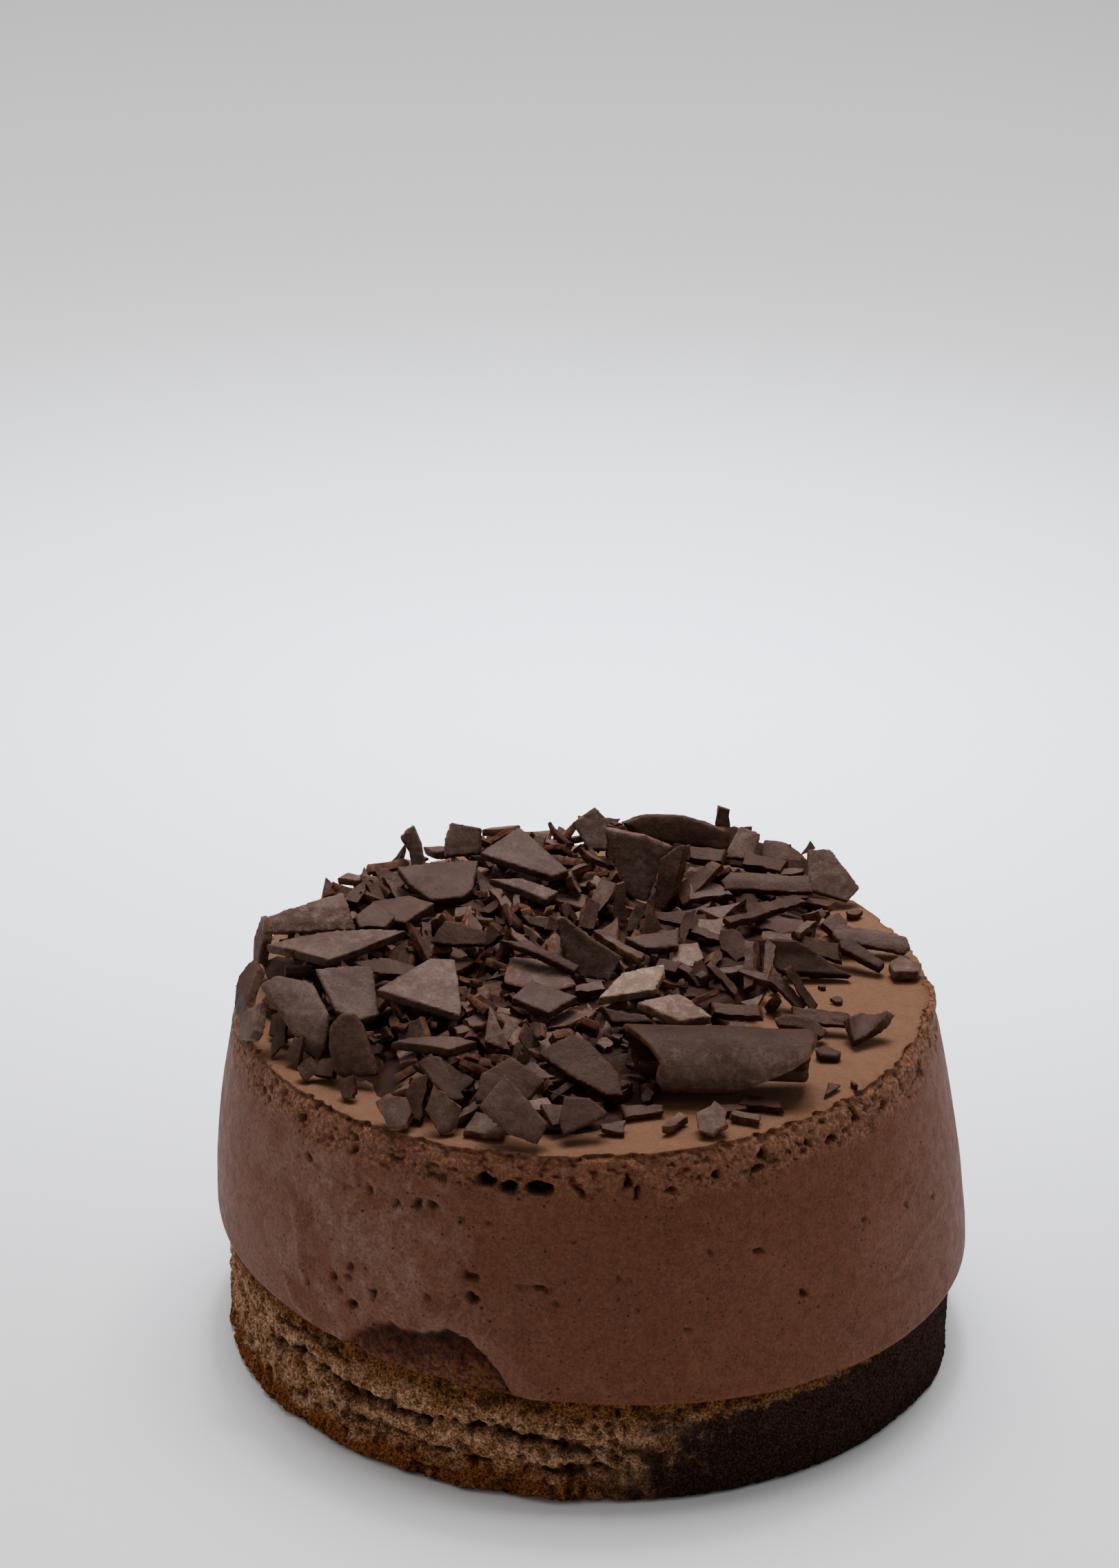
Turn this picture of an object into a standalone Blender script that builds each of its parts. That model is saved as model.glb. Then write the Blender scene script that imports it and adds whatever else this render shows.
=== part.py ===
"""A small round chocolate mousse cake: a sponge base, a mousse body and chocolate shavings on top.

The origin is at the middle of the underside, +Z is up and -Y is the front. Sizes are in millimetres
and become metres when a mesh is made.
"""
import math
import random

import bmesh
import bpy
from mathutils import Euler, Matrix, Vector, noise

MM = 0.001
GAP = 0.3                     # left between pieces that touch

# The sponge base
SPONGE_RADIUS = 39.2
SPONGE_HEIGHT = 13.85         # at the middle
SPONGE_CORNER = 1.2           # rounding of its lower edge
SPONGE_STEPS = 64             # sides round it
SPONGE_ROWS = (0.93, 0.8, 0.66, 0.5, 0.34, 0.2)     # shares of its height, down the side
CRUMB_SWELL = 0.6             # how far the sponge's outline wanders
CRUMB_WAVES = Vector((4.2, 4.2, 3.5))               # waves of the noise round it and up it
# The splits that run round the left and the front: middle and half width, as shares of the height
SPLITS = ((0.62, 0.13), (0.33, 0.12))
SPLIT_DEPTH = 1.3
SPLIT_WANDER = 0.06
SPLIT_ANGLE = math.radians(-140)
SPLIT_HALF_WIDTH = math.radians(95)

# The mousse body, cast in a ring and leaning in towards the top
MOUSSE_RADIUS = 40.7          # at the foot of its wall
WALL_LEAN_IN = 3.7            # how much smaller the wall's radius is at the top
WALL_CURVE = 1.6              # 1 would be a straight lean
MOUSSE_STEPS = 76             # sides round it
BAND_ROWS = (0.955, 0.91, 0.865)                    # shares of the body's height
WALL_ROWS = (0.74, 0.6, 0.45, 0.3, 0.2, 0.12, 0.05, 0)
TOP_RADIUS = 36.6
TOP_HEIGHT = 39.3             # at the middle
TORN_BAND = 4.6               # height of the rough band round the shoulder
TORN_STEP = 0.35              # drop from the smooth top to the band
TORN_RELIEF = 0.3
TORN_WAVES = Vector((16, 16, 14))
FOOT_X = 0.7                  # the cast body stands a little off the origin
TOP_X = -1.0                  # and leans a little to the left

# The layers aren't quite level: the sponge is thicker at the back left, and the top tips forward
FOOT_SLOPE = Vector((-0.037, 0.030))
TOP_SLOPE = Vector((0.037, 0.022))

# A chipped hollow in the foot of the wall, at the front left
CHIP_ANGLE = math.radians(-112)
CHIP_HALF_WIDTH = math.radians(12)
CHIP_HEIGHT = 5.0
CHIP_DEPTH = 1.3

# The heap of small shavings
HEAP_RADIUS = 35.8
HEAP_WANDER = 0.9             # how far its outline strays from a round
HEAP_WAVES = 5
HEAP_DEPTH = 4.4
HEAP_EDGE = 6.0               # width of its falling edge
HEAP_EDGE_DEPTH = 1.6
HEAP_PILED_DEPTH = 1.0        # how much deeper the edge is at the back
HEAP_PILED_ANGLE = math.radians(100)
HEAP_PILED_HALF_WIDTH = math.radians(60)
HEAP_ROUNDING = 0.6           # how fast it deepens inwards from its edge
HEAP_LEAST_DEPTH = 0.6
HEAP_GRID = 21
HEAP_SEED = 7
HEAP_CELLS = 330              # flat facets that stand for the separate shavings
HEAP_FACET_LIFT = 0.9
HEAP_FACET_SLOPE = 0.35
HEAP_EDGE_CALM = 0.4          # how much of the facets' relief is left at the edge
# Where the mousse is bare: angle, half width and how far in from the rim
BARE_PLACES = ((math.radians(-32), math.radians(70), 16), (math.radians(16), math.radians(40), 6))
# Where it is lower: in front of the roll and beside it, at the tongue, and in front of the hollow
# curl at the right. Middle, radius and how much lower
HEAP_DIPS = ((Vector((9, -29)), 11, 3), (Vector((-1, -28)), 7, 2), (Vector((-26, -25)), 8, 3),
             (Vector((20, -1)), 6, 3))

SHAVING_THICKNESS = 1.2
# A bent sheet is cut into strips this wide, as a share of its bend's radius, within these widths
STRIP_SHARE = 0.3
STRIP_LEAST = 1.2
STRIP_MOST = 4.0
UNCUT = 30.0                  # a strip wider than any sheet
ROOM_MARGIN = GAP + 0.05      # left round a shaving where it sinks into the heap
CORNER_LIMIT = 0.4            # keeps the margin at a sharp corner from running far out
CUT_ERROR = 0.001
POINT_ERROR = 0.01
FLAT_ANGLE = math.radians(1.0)        # neighbouring faces this level with each other are joined
SHARP_ANGLE = math.radians(35)        # edges of the turned bodies sharper than this stay sharp

# Colours, as linear red, green and blue
MOUSSE_COLOUR = (0.105, 0.038, 0.020)
SPONGE_COLOUR = (0.150, 0.080, 0.035)
CHOCOLATE_COLOUR = (0.052, 0.030, 0.022)
MOUSSE_ROUGHNESS = 0.85
SPONGE_ROUGHNESS = 0.95
CHOCOLATE_ROUGHNESS = 0.6

# The large shavings. Each is a flat outline in its own plane, then bent and set down:
#   at      the middle of the outline
#   lean    degrees that its face leans over from lying flat
#   turn    degrees that it is turned about +Z; at 0 it leans to the front
#   bend    the axis it curls about, and the radius: positive curls its edges down
SHAVINGS = {
    "shaving_triangle_left": dict(
        at=(-18, -13, 45), lean=15, turn=0, bend=("x", 40),
        outline=((-4.5, -1), (1, 4.5), (3.5, 4.5), (4.5, -2.5), (4.5, -4.5))),
    "shaving_plank_left": dict(
        at=(-31, 3, 46), lean=35, turn=10, bend=("x", 5),
        outline=((-4.5, -0.8), (4.2, 1.9), (4.7, 0), (5.2, -2.5), (-4.8, -2.5))),
    "shaving_dart_left": dict(
        at=(-27.5, -1, 44), lean=12, turn=0, bend=("y", 30),
        outline=((-7.5, 0), (-1.5, 1.5), (7.5, 3.5), (3, -1), (-0.5, -3.5), (-4.5, -1.5))),
    "shaving_shell_left": dict(
        at=(-36.2, -8.4, 41.2), lean=60, turn=-72, bend=("x", 6),
        outline=((-3.8, 2.8), (-3.5, 0.5), (-1, -2), (4, -3), (4.3, -2), (1, 0.5), (-1.5, 2.9))),
    "shaving_curl_left": dict(
        at=(-31, -15.5, 42.5), lean=50, turn=-10, bend=("x", 8),
        outline=((-4, 3), (-2.5, 4.5), (1.5, 4), (4, 0.5), (4, -3), (3.5, -4.5), (0, -1.5))),
    "shaving_square_left": dict(
        at=(-25.5, -13, 44), lean=30, turn=0, bend=("y", 14),
        outline=((-3.5, 3), (2.5, 3.5), (3.5, -2.5), (1.5, -3.5), (-1, -2.5))),
    "shaving_tongue_left": dict(
        at=(-24.2, -20.6, 41.9), lean=62, turn=0, bend=("y", -5),
        outline=((-2.7, 2), (-1.5, 3.4), (0, 3.4), (1, 2), (2.9, -3), (-1.2, -3.4), (-2.2, -2.5), (-2.7, 0))),
    "shaving_triangle_back": dict(
        at=(-8, 18.5, 46.5), lean=25, turn=0, bend=("x", 40),
        outline=((-5, -0.5), (-1, 3.5), (-0.5, 3.5), (5, -2.5), (3, -3.5))),
    "shaving_plate_back": dict(
        at=(-17.5, 15, 44.5), lean=25, turn=0, bend=("x", 18),
        outline=((-4.5, 1.5), (0, 2.5), (4.5, 3), (4, -1.5), (3, -2.5), (-0.5, -3), (-3, -1))),
    "shaving_standing_curl": dict(
        at=(4.5, 19, 45), lean=78, turn=0, bend=("y", 6),
        outline=((-4, 4.5), (0.5, 4), (4, 2.5), (2.5, 0.5), (1, -4.5), (-1.5, -2.5))),
    "shaving_blade_back": dict(
        at=(8, 16.5, 45.5), lean=75, turn=-40, bend=("x", 40),
        outline=((-1.5, 1.5), (0.5, 3.5), (1.5, 4), (1.5, -2), (0.5, -4), (-1, -4))),
    "shaving_fin_centre": dict(
        at=(-0.5, -1, 44.5), lean=72, turn=10, bend=("y", 12),
        outline=((-3.5, 3.5), (-2.5, 3.5), (0.5, 1), (3.5, -1), (2, -3.5), (-1, -3), (-2.5, -1.5))),
    "shaving_hollow_right": dict(
        at=(22.6, 3, 42.6), lean=58, turn=0, bend=("x", -6),
        outline=((-5.1, 1.7), (-1, 1.7), (0.4, 1), (3.4, -1.2), (5.1, -2.2), (-2.2, -2.1), (-4.8, -1.1))),
    "shaving_stick_right": dict(
        at=(30.2, 8.2, 42.65), lean=25, turn=0, bend=("x", 3),
        outline=((-4.6, 0.2), (-4, 1.5), (3.5, 0), (4, -1.3), (3.2, -1.9), (-4, -0.8))),
    "shaving_slab_right": dict(
        at=(29, 4.4, 42.4), lean=30, turn=0, bend=("x", 40),
        outline=((-2.9, 1.4), (-1.6, 1.9), (2.2, -1.3), (1.6, -2.1), (-2.6, 0.3))),
    "shaving_diamond_right": dict(
        at=(33.1, 2.9, 41.6), lean=4, turn=0, bend=("x", 40),
        outline=((-1.6, 0.2), (-0.2, 2), (2.1, 0.2), (1.6, -1.3), (-1.1, -1.6))),
    "shaving_plate_right": dict(
        at=(26, 21, 44), lean=55, turn=10, bend=("x", 20),
        outline=((-2.5, 3), (0, 3), (3, -1.5), (1.5, -3), (-3, -1.5))),
    "shaving_bar_right": dict(
        at=(18.8, 16.2, 45), lean=35, turn=-3, bend=("x", 4),
        outline=((-5.2, -0.2), (-4.2, 1), (4.5, 1), (5, -1), (-4.6, -1.2))),
    "shaving_arch_back": dict(
        at=(8.5, 29.5, 45), lean=70, turn=0, bend=("y", -12),
        outline=((-6.5, 1), (-3.5, 2), (1, 2), (6.5, 0.5), (6.5, -2), (1, -1.5), (-3.5, -1))),
    "shaving_apex_back": dict(
        at=(-1, 28.5, 45.5), lean=62, turn=0, bend=("y", 20),
        outline=((-2, 0.5), (0.5, 2.5), (2, 1), (2, -2.5), (0, -2.5))),
    "shaving_diamond": dict(
        at=(-5, -12.5, 44), lean=18, turn=0, bend=("x", 20),
        outline=((-3.5, -0.5), (-1.5, 2.5), (3.5, 0), (0.5, -2.5))),
    "shaving_plate_centre": dict(
        at=(4, -8, 44), lean=15, turn=0, bend=("x", 25),
        outline=((-3.5, -3), (-1, 1), (3.5, 3), (3.5, 1.5), (2.5, -1.5))),
    "shaving_behind_roll": dict(
        at=(8.5, -13, 43.5), lean=10, turn=0, bend=("x", 30),
        outline=((-4, 0.5), (0.5, 2.5), (4, -1.5), (0.5, -2.5))),
    "shaving_triangle_front": dict(
        at=(-7.5, -33.5, 42), lean=50, turn=0, bend=("x", 25),
        outline=((-1, 3.5), (-3.5, 0), (-0.5, -2.5), (2.5, -3.5), (3.5, -1.5))),
    "shaving_plate_front": dict(
        at=(-8, -28.5, 42.5), lean=45, turn=0, bend=("x", 25),
        outline=((0, 2.5), (-3, 0.5), (-3.5, -2.5), (2, -2), (3.5, 0))),
    "shaving_under_roll": dict(
        at=(0, -24.5, 42.5), lean=35, turn=0, bend=("y", 16),
        outline=((-5.5, 1.5), (-2, 3.5), (0, 2.5), (3, -1), (3.5, -3.5), (1.5, -3.5), (-2, -1.5))),
    "shaving_spike_front": dict(
        at=(-9.5, -19, 43.5), lean=50, turn=0, bend=("y", 20),
        outline=((-1, 2.5), (0, 0.5), (1.5, -2.5), (-1.5, -1.5))),
    "shaving_strip_front": dict(
        at=(-16, -21.6, 43), lean=10, turn=0, bend=("y", 25),
        outline=((-4.5, -0.3), (-2.5, 0.4), (2, 0.9), (4.5, 0.3), (1.5, -1.6))),
    "shaving_red_flake": dict(
        at=(-14.5, 1.5, 44.5), lean=45, turn=0, bend=("y", 6),
        outline=((-1.5, 1.5), (3, 0.5), (3, -1), (0, -1.5), (-3, -1))),
    "shaving_strip_centre": dict(
        at=(-6, -3, 44.5), lean=30, turn=0, bend=("y", 14),
        outline=((-4.5, 2), (-1.5, 1.5), (4.5, -1), (4, -2), (0.5, -0.5))),
    "shaving_strip_back": dict(
        at=(-8, 13, 44.5), lean=25, turn=0, bend=("y", 30),
        outline=((-4, 1.5), (0, 1.5), (4, 0), (2.5, -1.5))),
    "shaving_plate_mid_left": dict(
        at=(-21, 10.5, 42.8), lean=12, turn=0, bend=("x", 20),
        outline=((-3.5, 1), (0.5, 2.5), (3.5, 1), (0.5, -2.5), (-2, -2))),
    "shaving_bar_left": dict(
        at=(-21.5, -3.5, 42.5), lean=15, turn=0, bend=("x", 6),
        outline=((-4, 0.5), (-0.5, 1.5), (4, -0.5), (2.5, -1.5), (-2.5, -1))),
    "shaving_leaf_front": dict(
        at=(-15, -28, 42), lean=35, turn=0, bend=("y", 8),
        outline=((-2.5, 2), (-1.5, 2.5), (0, 2.5), (2.5, -2), (1, -2.5), (-0.5, -1))),
    "shaving_folded_back": dict(
        at=(-15, 25, 45), lean=60, turn=0, bend=("y", -5),
        outline=((-1.5, 2), (2, 1.5), (2, -1.5), (-2, -2), (-2, 0))),
    "shaving_upright_back": dict(
        at=(-20.5, 23, 45), lean=75, turn=0, bend=("x", 30),
        outline=((0, 2.5), (-1.5, 1), (-0.5, -0.5), (0, -2.5), (1.5, -2.5), (1, 0.5))),
    "shaving_chip_back": dict(
        at=(16, 25.5, 45.5), lean=50, turn=0, bend=("y", 12),
        outline=((-0.3, 2), (2.1, 1.2), (1.2, -2), (-2, -1.6))),
    "shaving_arch_right": dict(
        at=(21, 26, 44), lean=40, turn=20, bend=("y", 5),
        outline=((-2, 2.5), (0.5, 1.5), (3, -1), (1, -2.5), (-1, -1), (-3, 0))),
    "shaving_flap_front": dict(
        at=(3.5, -15, 43.5), lean=35, turn=0, bend=("y", -8),
        outline=((-3, 1), (-2, 0.5), (2, 0), (3, -1), (-1.5, -1))),
    "shaving_end_left": dict(
        at=(-35.5, 3, 42.5), lean=70, turn=-60, bend=("x", 20),
        outline=((-1.3, 2.3), (0.4, 1.5), (1, 0.2), (1.4, -2.4), (0, -2.6), (-1, -0.5))),
    "shaving_inner_left": dict(
        at=(-24, 7.5, 43.5), lean=20, turn=0, bend=("x", 20),
        outline=((-2, -0.5), (0, 2), (2.5, -0.5), (1.5, -2), (-1.5, -2))),
    "shaving_second_shell": dict(
        at=(-35, -14.5, 41), lean=60, turn=-70, bend=("x", 20),
        outline=((-2.5, 0), (-0.5, 2.5), (2, 0), (2, -1), (-1, -2.5))),
    "shaving_flake_right": dict(
        at=(28.6, -12.2, 41.5), lean=22, turn=-15, bend=("y", -3),
        outline=((-2.6, 0.3), (-1.2, 1.8), (2.6, 2.2), (2.2, 1), (-0.9, -2.4))),
    "shaving_strip_right": dict(
        at=(22, -12, 41.7), lean=45, turn=0, bend=("y", 8),
        outline=((-2.9, 0.8), (-1.5, 1.2), (1, 0.8), (2.6, -0.6), (1.8, -1.4), (-0.8, -0.4), (-2.7, -0.2))),
    "shaving_lip_of_roll": dict(
        at=(24.5, -16, 41.2), lean=20, turn=0, bend=("y", 12),
        outline=((-1.4, 0.3), (-0.4, 1), (1.5, 0.1), (1.1, -0.8), (-0.8, -0.7))),
    "shaving_dark_front": dict(
        at=(-0.5, -33, 41), lean=50, turn=0, bend=("x", 15),
        outline=((-2, 2), (0.5, 2), (2.5, 0.5), (2, 0), (-2, -2), (-2.5, -0.5))),
    "shaving_plate_middle": dict(
        at=(6, 2.5, 44), lean=25, turn=0, bend=("x", 20),
        outline=((-3, 0), (3, 1.5), (3, -1), (-0.5, -1.5))),
}

# The rolled curl at the front right: a sheet whose outer edge is at y 0, rolled up from the front
ROLL_AT = (13.5, -23, 43.3)
ROLL_RADIUS = 3.4
ROLL_TIGHTENING = 0.075       # millimetres of radius lost along each millimetre of sheet
ROLL_START = math.radians(-66)
ROLL_THICKNESS = 1.0
ROLL_STRIP = 1.2
ROLL_OUTLINE = ((-6, 0), (4, 0), (9.4, 4.5), (9.6, 9), (8.6, 24), (-8.5, 24), (-10, 9), (-6.5, 4))
ROLL_ROOM_LENGTH = 21.5
ROLL_ROOM_SIDES = 20


def collection(name):
    made = bpy.data.collections.new(name)
    bpy.context.scene.collection.children.link(made)
    return made


def material(name, colour, roughness):
    made = bpy.data.materials.new(name)
    made.use_nodes = True
    shader = made.node_tree.nodes["Principled BSDF"]
    shader.inputs["Base Color"].default_value = (*colour, 1)
    shader.inputs["Roughness"].default_value = roughness
    shader.inputs["Metallic"].default_value = 0
    return made


def foot_height(x, y):
    """Height of the joint between sponge and mousse."""
    return SPONGE_HEIGHT + FOOT_SLOPE.dot((x, y))


def top_height(x, y):
    """Height of the mousse's smooth top."""
    return TOP_HEIGHT + TOP_SLOPE.dot((x, y))


def middle_x(h):
    """Where the body's middle lies, from its foot at h 0 to its top at h 1."""
    return FOOT_X + (TOP_X - FOOT_X) * h


def bump(distance, half_width):
    """1 at the middle, falling smoothly to 0 at half_width."""
    t = min(abs(distance) / half_width, 1)
    return (1 - t * t) ** 2


def angle_between(a, b):
    return (a - b + math.pi) % (2 * math.pi) - math.pi


def turned(name, profile, steps, place, finish, into):
    """A profile in (radius, height), top to bottom, turned round Z; place then moves each point."""
    edge = bpy.data.meshes.new(name)
    points = [(r, 0, z) for r, z in profile]
    edge.from_pydata(points, [(i, i + 1) for i in range(len(points) - 1)], [])
    drawn = bpy.data.objects.new(name + "_profile", edge)
    into.objects.link(drawn)
    screw = drawn.modifiers.new("turn", "SCREW")
    screw.steps = screw.render_steps = steps
    screw.use_merge_vertices = True
    screw.merge_threshold = 0.0001
    depsgraph = bpy.context.evaluated_depsgraph_get()
    mesh = bpy.data.meshes.new_from_object(drawn.evaluated_get(depsgraph))
    bpy.data.objects.remove(drawn)
    mesh.name = name
    for vertex in mesh.vertices:
        vertex.co = place(*vertex.co) * MM
    mesh.materials.append(finish)
    mesh.shade_smooth()
    mesh.set_sharp_from_angle(angle=SHARP_ANGLE)
    made = bpy.data.objects.new(name, mesh)
    into.objects.link(made)
    return made


def sponge_base(finish, into):
    shoulder = SPONGE_RADIUS - SPONGE_CORNER / 3
    profile = [(0, 1), (shoulder, 1), *[(SPONGE_RADIUS, h) for h in SPONGE_ROWS]]
    profile += [(shoulder, SPONGE_CORNER / SPONGE_HEIGHT), (SPONGE_RADIUS - SPONGE_CORNER, 0), (0, 0)]

    def place(x, y, h):
        radius, angle = math.hypot(x, y), math.atan2(y, x)
        if radius > SPONGE_RADIUS - 2 * SPONGE_CORNER:
            along = Vector((math.cos(angle), math.sin(angle), h)) * CRUMB_WAVES
            swell = noise.noise(along)
            radius += CRUMB_SWELL * swell
            # the splits are deepest at the left and fade out at the right
            open_here = bump(angle_between(angle, SPLIT_ANGLE), SPLIT_HALF_WIDTH)
            wander = SPLIT_WANDER * swell
            split = max(bump(h - level - wander, width) for level, width in SPLITS)
            radius -= SPLIT_DEPTH * open_here * split
        x, y = FOOT_X + radius * math.cos(angle), radius * math.sin(angle)
        return Vector((x, y, h * (foot_height(x, y) - GAP)))

    return turned("sponge_base", profile, SPONGE_STEPS, place, finish, into)


def mousse_body(finish, into):
    height = TOP_HEIGHT - SPONGE_HEIGHT
    band = 1 - TORN_BAND / height

    def wall(h):
        return MOUSSE_RADIUS - WALL_LEAN_IN * h ** WALL_CURVE

    shoulder = wall(1) - TORN_STEP / 3
    profile = [(0, 1), (TOP_RADIUS - 2 * TORN_STEP, 1), (TOP_RADIUS, 1), (shoulder, 1 - TORN_STEP / height)]
    profile += [(wall(h), h) for h in (*BAND_ROWS, band, *WALL_ROWS)]
    profile += [(0, 0)]

    def place(x, y, h):
        radius, angle = math.hypot(x, y), math.atan2(y, x)
        if radius > TOP_RADIUS + GAP / 3:
            if h > band - TORN_STEP / height:
                along = Vector((math.cos(angle), math.sin(angle), h)) * TORN_WAVES
                radius += TORN_RELIEF * noise.noise(along)
            # the chip's upper edge is its sharpest
            low = 1 - min(h * height / CHIP_HEIGHT, 1) ** 3
            radius -= CHIP_DEPTH * low * bump(angle_between(angle, CHIP_ANGLE), CHIP_HALF_WIDTH) ** 0.5
        x, y = middle_x(h) + radius * math.cos(angle), radius * math.sin(angle)
        low_z, top_z = foot_height(x, y), top_height(x, y)
        return Vector((x, y, low_z + h * (top_z - low_z)))

    return turned("mousse_body", profile, MOUSSE_STEPS, place, finish, into)


def heap_reach(angle):
    """How far the heap spreads from the middle, in each direction."""
    bare = sum(depth * bump(angle_between(angle, at), width) for at, width, depth in BARE_PLACES)
    wander = HEAP_WANDER * noise.noise(Vector((math.cos(angle), math.sin(angle), 0)) * HEAP_WAVES)
    return HEAP_RADIUS - bare + wander


def shavings_heap(finish, into):
    """The heap of small shavings: one solid out to its uneven outline, with a top of tilted facets."""
    dice = random.Random(HEAP_SEED)
    cells = []
    for _ in range(HEAP_CELLS):
        middle = Vector((dice.uniform(-1, 1), dice.uniform(-1, 1))) * HEAP_RADIUS
        slope = Vector((dice.uniform(-1, 1), dice.uniform(-1, 1))) * HEAP_FACET_SLOPE
        cells.append((middle, dice.uniform(-1, 1) * HEAP_FACET_LIFT, slope))

    def height(x, y, inward, angle):
        here = Vector((x, y))
        piled = bump(angle_between(angle, HEAP_PILED_ANGLE), HEAP_PILED_HALF_WIDTH)
        edge_depth = HEAP_EDGE_DEPTH + HEAP_PILED_DEPTH * piled
        depth = edge_depth + (HEAP_DEPTH - edge_depth) * inward ** HEAP_ROUNDING
        depth -= sum(lower * bump((here - at).length, size) for at, size, lower in HEAP_DIPS)
        middle, lift, slope = min(cells, key=lambda cell: (cell[0] - here).length_squared)
        depth += (lift + slope.dot(here - middle)) * (HEAP_EDGE_CALM + (1 - HEAP_EDGE_CALM) * inward)
        return top_height(x, y) + GAP + max(depth, HEAP_LEAST_DEPTH)

    heap = bmesh.new()
    bmesh.ops.create_grid(heap, x_segments=HEAP_GRID, y_segments=HEAP_GRID, size=1)
    rim = [edge for edge in heap.edges if edge.is_boundary]
    skirt = bmesh.ops.extrude_edge_only(heap, edges=rim)["geom"]
    low = [item for item in skirt if isinstance(item, bmesh.types.BMVert)]
    low_rim = [item for item in skirt if isinstance(item, bmesh.types.BMEdge) and item.is_boundary]
    for vertex in heap.verts:
        # the square grid becomes a round one
        u, v = vertex.co.xy
        x, y = u * math.sqrt(1 - v * v / 2), v * math.sqrt(1 - u * u / 2)
        out, angle = math.hypot(x, y), math.atan2(y, x)
        reach = heap_reach(angle)
        x, y = x * reach, y * reach
        inward = min(max((1 - out) * reach / HEAP_EDGE, 0), 1)
        z = top_height(x, y) + GAP if vertex in low else height(x, y, inward, angle)
        vertex.co = Vector((x, y, z)) * MM
    bmesh.ops.edgeloop_fill(heap, edges=low_rim)
    bmesh.ops.recalc_face_normals(heap, faces=heap.faces[:])
    # its four-sided faces aren't flat, and a cut through one would bend it
    bmesh.ops.triangulate(heap, faces=heap.faces[:])
    mesh = bpy.data.meshes.new("shavings_heap")
    heap.to_mesh(mesh)
    heap.free()
    mesh.materials.append(finish)
    made = bpy.data.objects.new("shavings_heap", mesh)
    into.objects.link(made)
    return made


def sheet(outline, spacing, margin=0):
    """A flat outline as a bmesh, grown by margin and cut into strips both ways, in millimetres."""
    made = bmesh.new()
    points = [Vector(p) for p in outline]
    if sum(a.cross(b) for a, b in zip(points, points[1:] + points[:1])) < 0:
        points.reverse()
    for i, point in enumerate(points):
        before = (point - points[i - 1]).normalized()
        after = (points[(i + 1) % len(points)] - point).normalized()
        # the outline runs anticlockwise, so its outside is to the right of each side
        out_before, out_after = Vector((before.y, -before.x)), Vector((after.y, -after.x))
        corner = (out_before + out_after) / max(1 + out_before.dot(out_after), CORNER_LIMIT)
        made.verts.new((*(point + corner * margin), 0))
    made.faces.new(made.verts[:])
    for axis, step in enumerate(spacing):
        reach = max(abs(v.co[axis]) for v in made.verts)
        normal = Vector((0, 0, 0))
        normal[axis] = 1
        for i in range(-int(reach / step), int(reach / step) + 1):
            cut = made.verts[:] + made.edges[:] + made.faces[:]
            bmesh.ops.bisect_plane(made, geom=cut, plane_co=normal * step * i, plane_no=normal,
                                   dist=CUT_ERROR)
    bmesh.ops.remove_doubles(made, verts=made.verts[:], dist=POINT_ERROR)
    return made


def solid_sheet(name, flat, shape, thickness, finish, into):
    """Bends a flat sheet with shape(x, y) and thickens it to both sides."""
    for vertex in flat.verts:
        vertex.co = shape(vertex.co.x, vertex.co.y) * MM
    mesh = bpy.data.meshes.new(name)
    flat.to_mesh(mesh)
    flat.free()
    mesh.materials.append(finish)
    made = bpy.data.objects.new(name, mesh)
    into.objects.link(made)
    thicken = made.modifiers.new("thickness", "SOLIDIFY")
    thicken.thickness = thickness * MM
    thicken.offset = 0
    return made


def shaving(name, at, lean, turn, bend, outline, finish, into, margin=0):
    """One broken piece of chocolate; a margin makes it the cutter that clears room for itself."""
    axis, radius = bend
    step = min(max(abs(radius) * STRIP_SHARE, STRIP_LEAST), STRIP_MOST)
    spacing = (UNCUT, step) if axis == "x" else (step, UNCUT)

    def shape(x, y):
        across = y if axis == "x" else x
        curled, drop = radius * math.sin(across / radius), radius * (math.cos(across / radius) - 1)
        return Vector((x, curled, drop) if axis == "x" else (curled, y, drop))

    flat = sheet(outline, spacing, margin)
    made = solid_sheet(name, flat, shape, SHAVING_THICKNESS + 2 * margin, finish, into)
    made.location = Vector(at) * MM
    made.rotation_euler = Euler((math.radians(lean), 0, math.radians(turn)))
    return made


def curl_roll(name, finish, into):
    """A sheet rolled up on itself, lying along X with its open end to the left."""

    def shape(x, y):
        angle = ROLL_START + y / ROLL_RADIUS
        radius = ROLL_RADIUS - ROLL_TIGHTENING * y
        return Vector((x, -radius * math.cos(angle), radius * math.sin(angle)))

    flat = sheet(ROLL_OUTLINE, (UNCUT, ROLL_STRIP))
    made = solid_sheet(name, flat, shape, ROLL_THICKNESS, finish, into)
    made.location = Vector(ROLL_AT) * MM
    return made


def roll_cutter(finish, into):
    """The roll's whole round, so that nothing is left inside it."""
    made = bmesh.new()
    radius = ROLL_RADIUS + ROLL_THICKNESS / 2 + ROOM_MARGIN
    bmesh.ops.create_cone(made, cap_ends=True, segments=ROLL_ROOM_SIDES, radius1=radius, radius2=radius,
                          depth=ROLL_ROOM_LENGTH, matrix=Matrix.Rotation(math.pi / 2, 4, "Y"))
    for vertex in made.verts:
        vertex.co *= MM
    mesh = bpy.data.meshes.new("roll_room")
    made.to_mesh(mesh)
    made.free()
    mesh.materials.append(finish)
    room = bpy.data.objects.new("roll_room", mesh)
    room.location = Vector(ROLL_AT) * MM
    into.objects.link(room)
    return room


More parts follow.
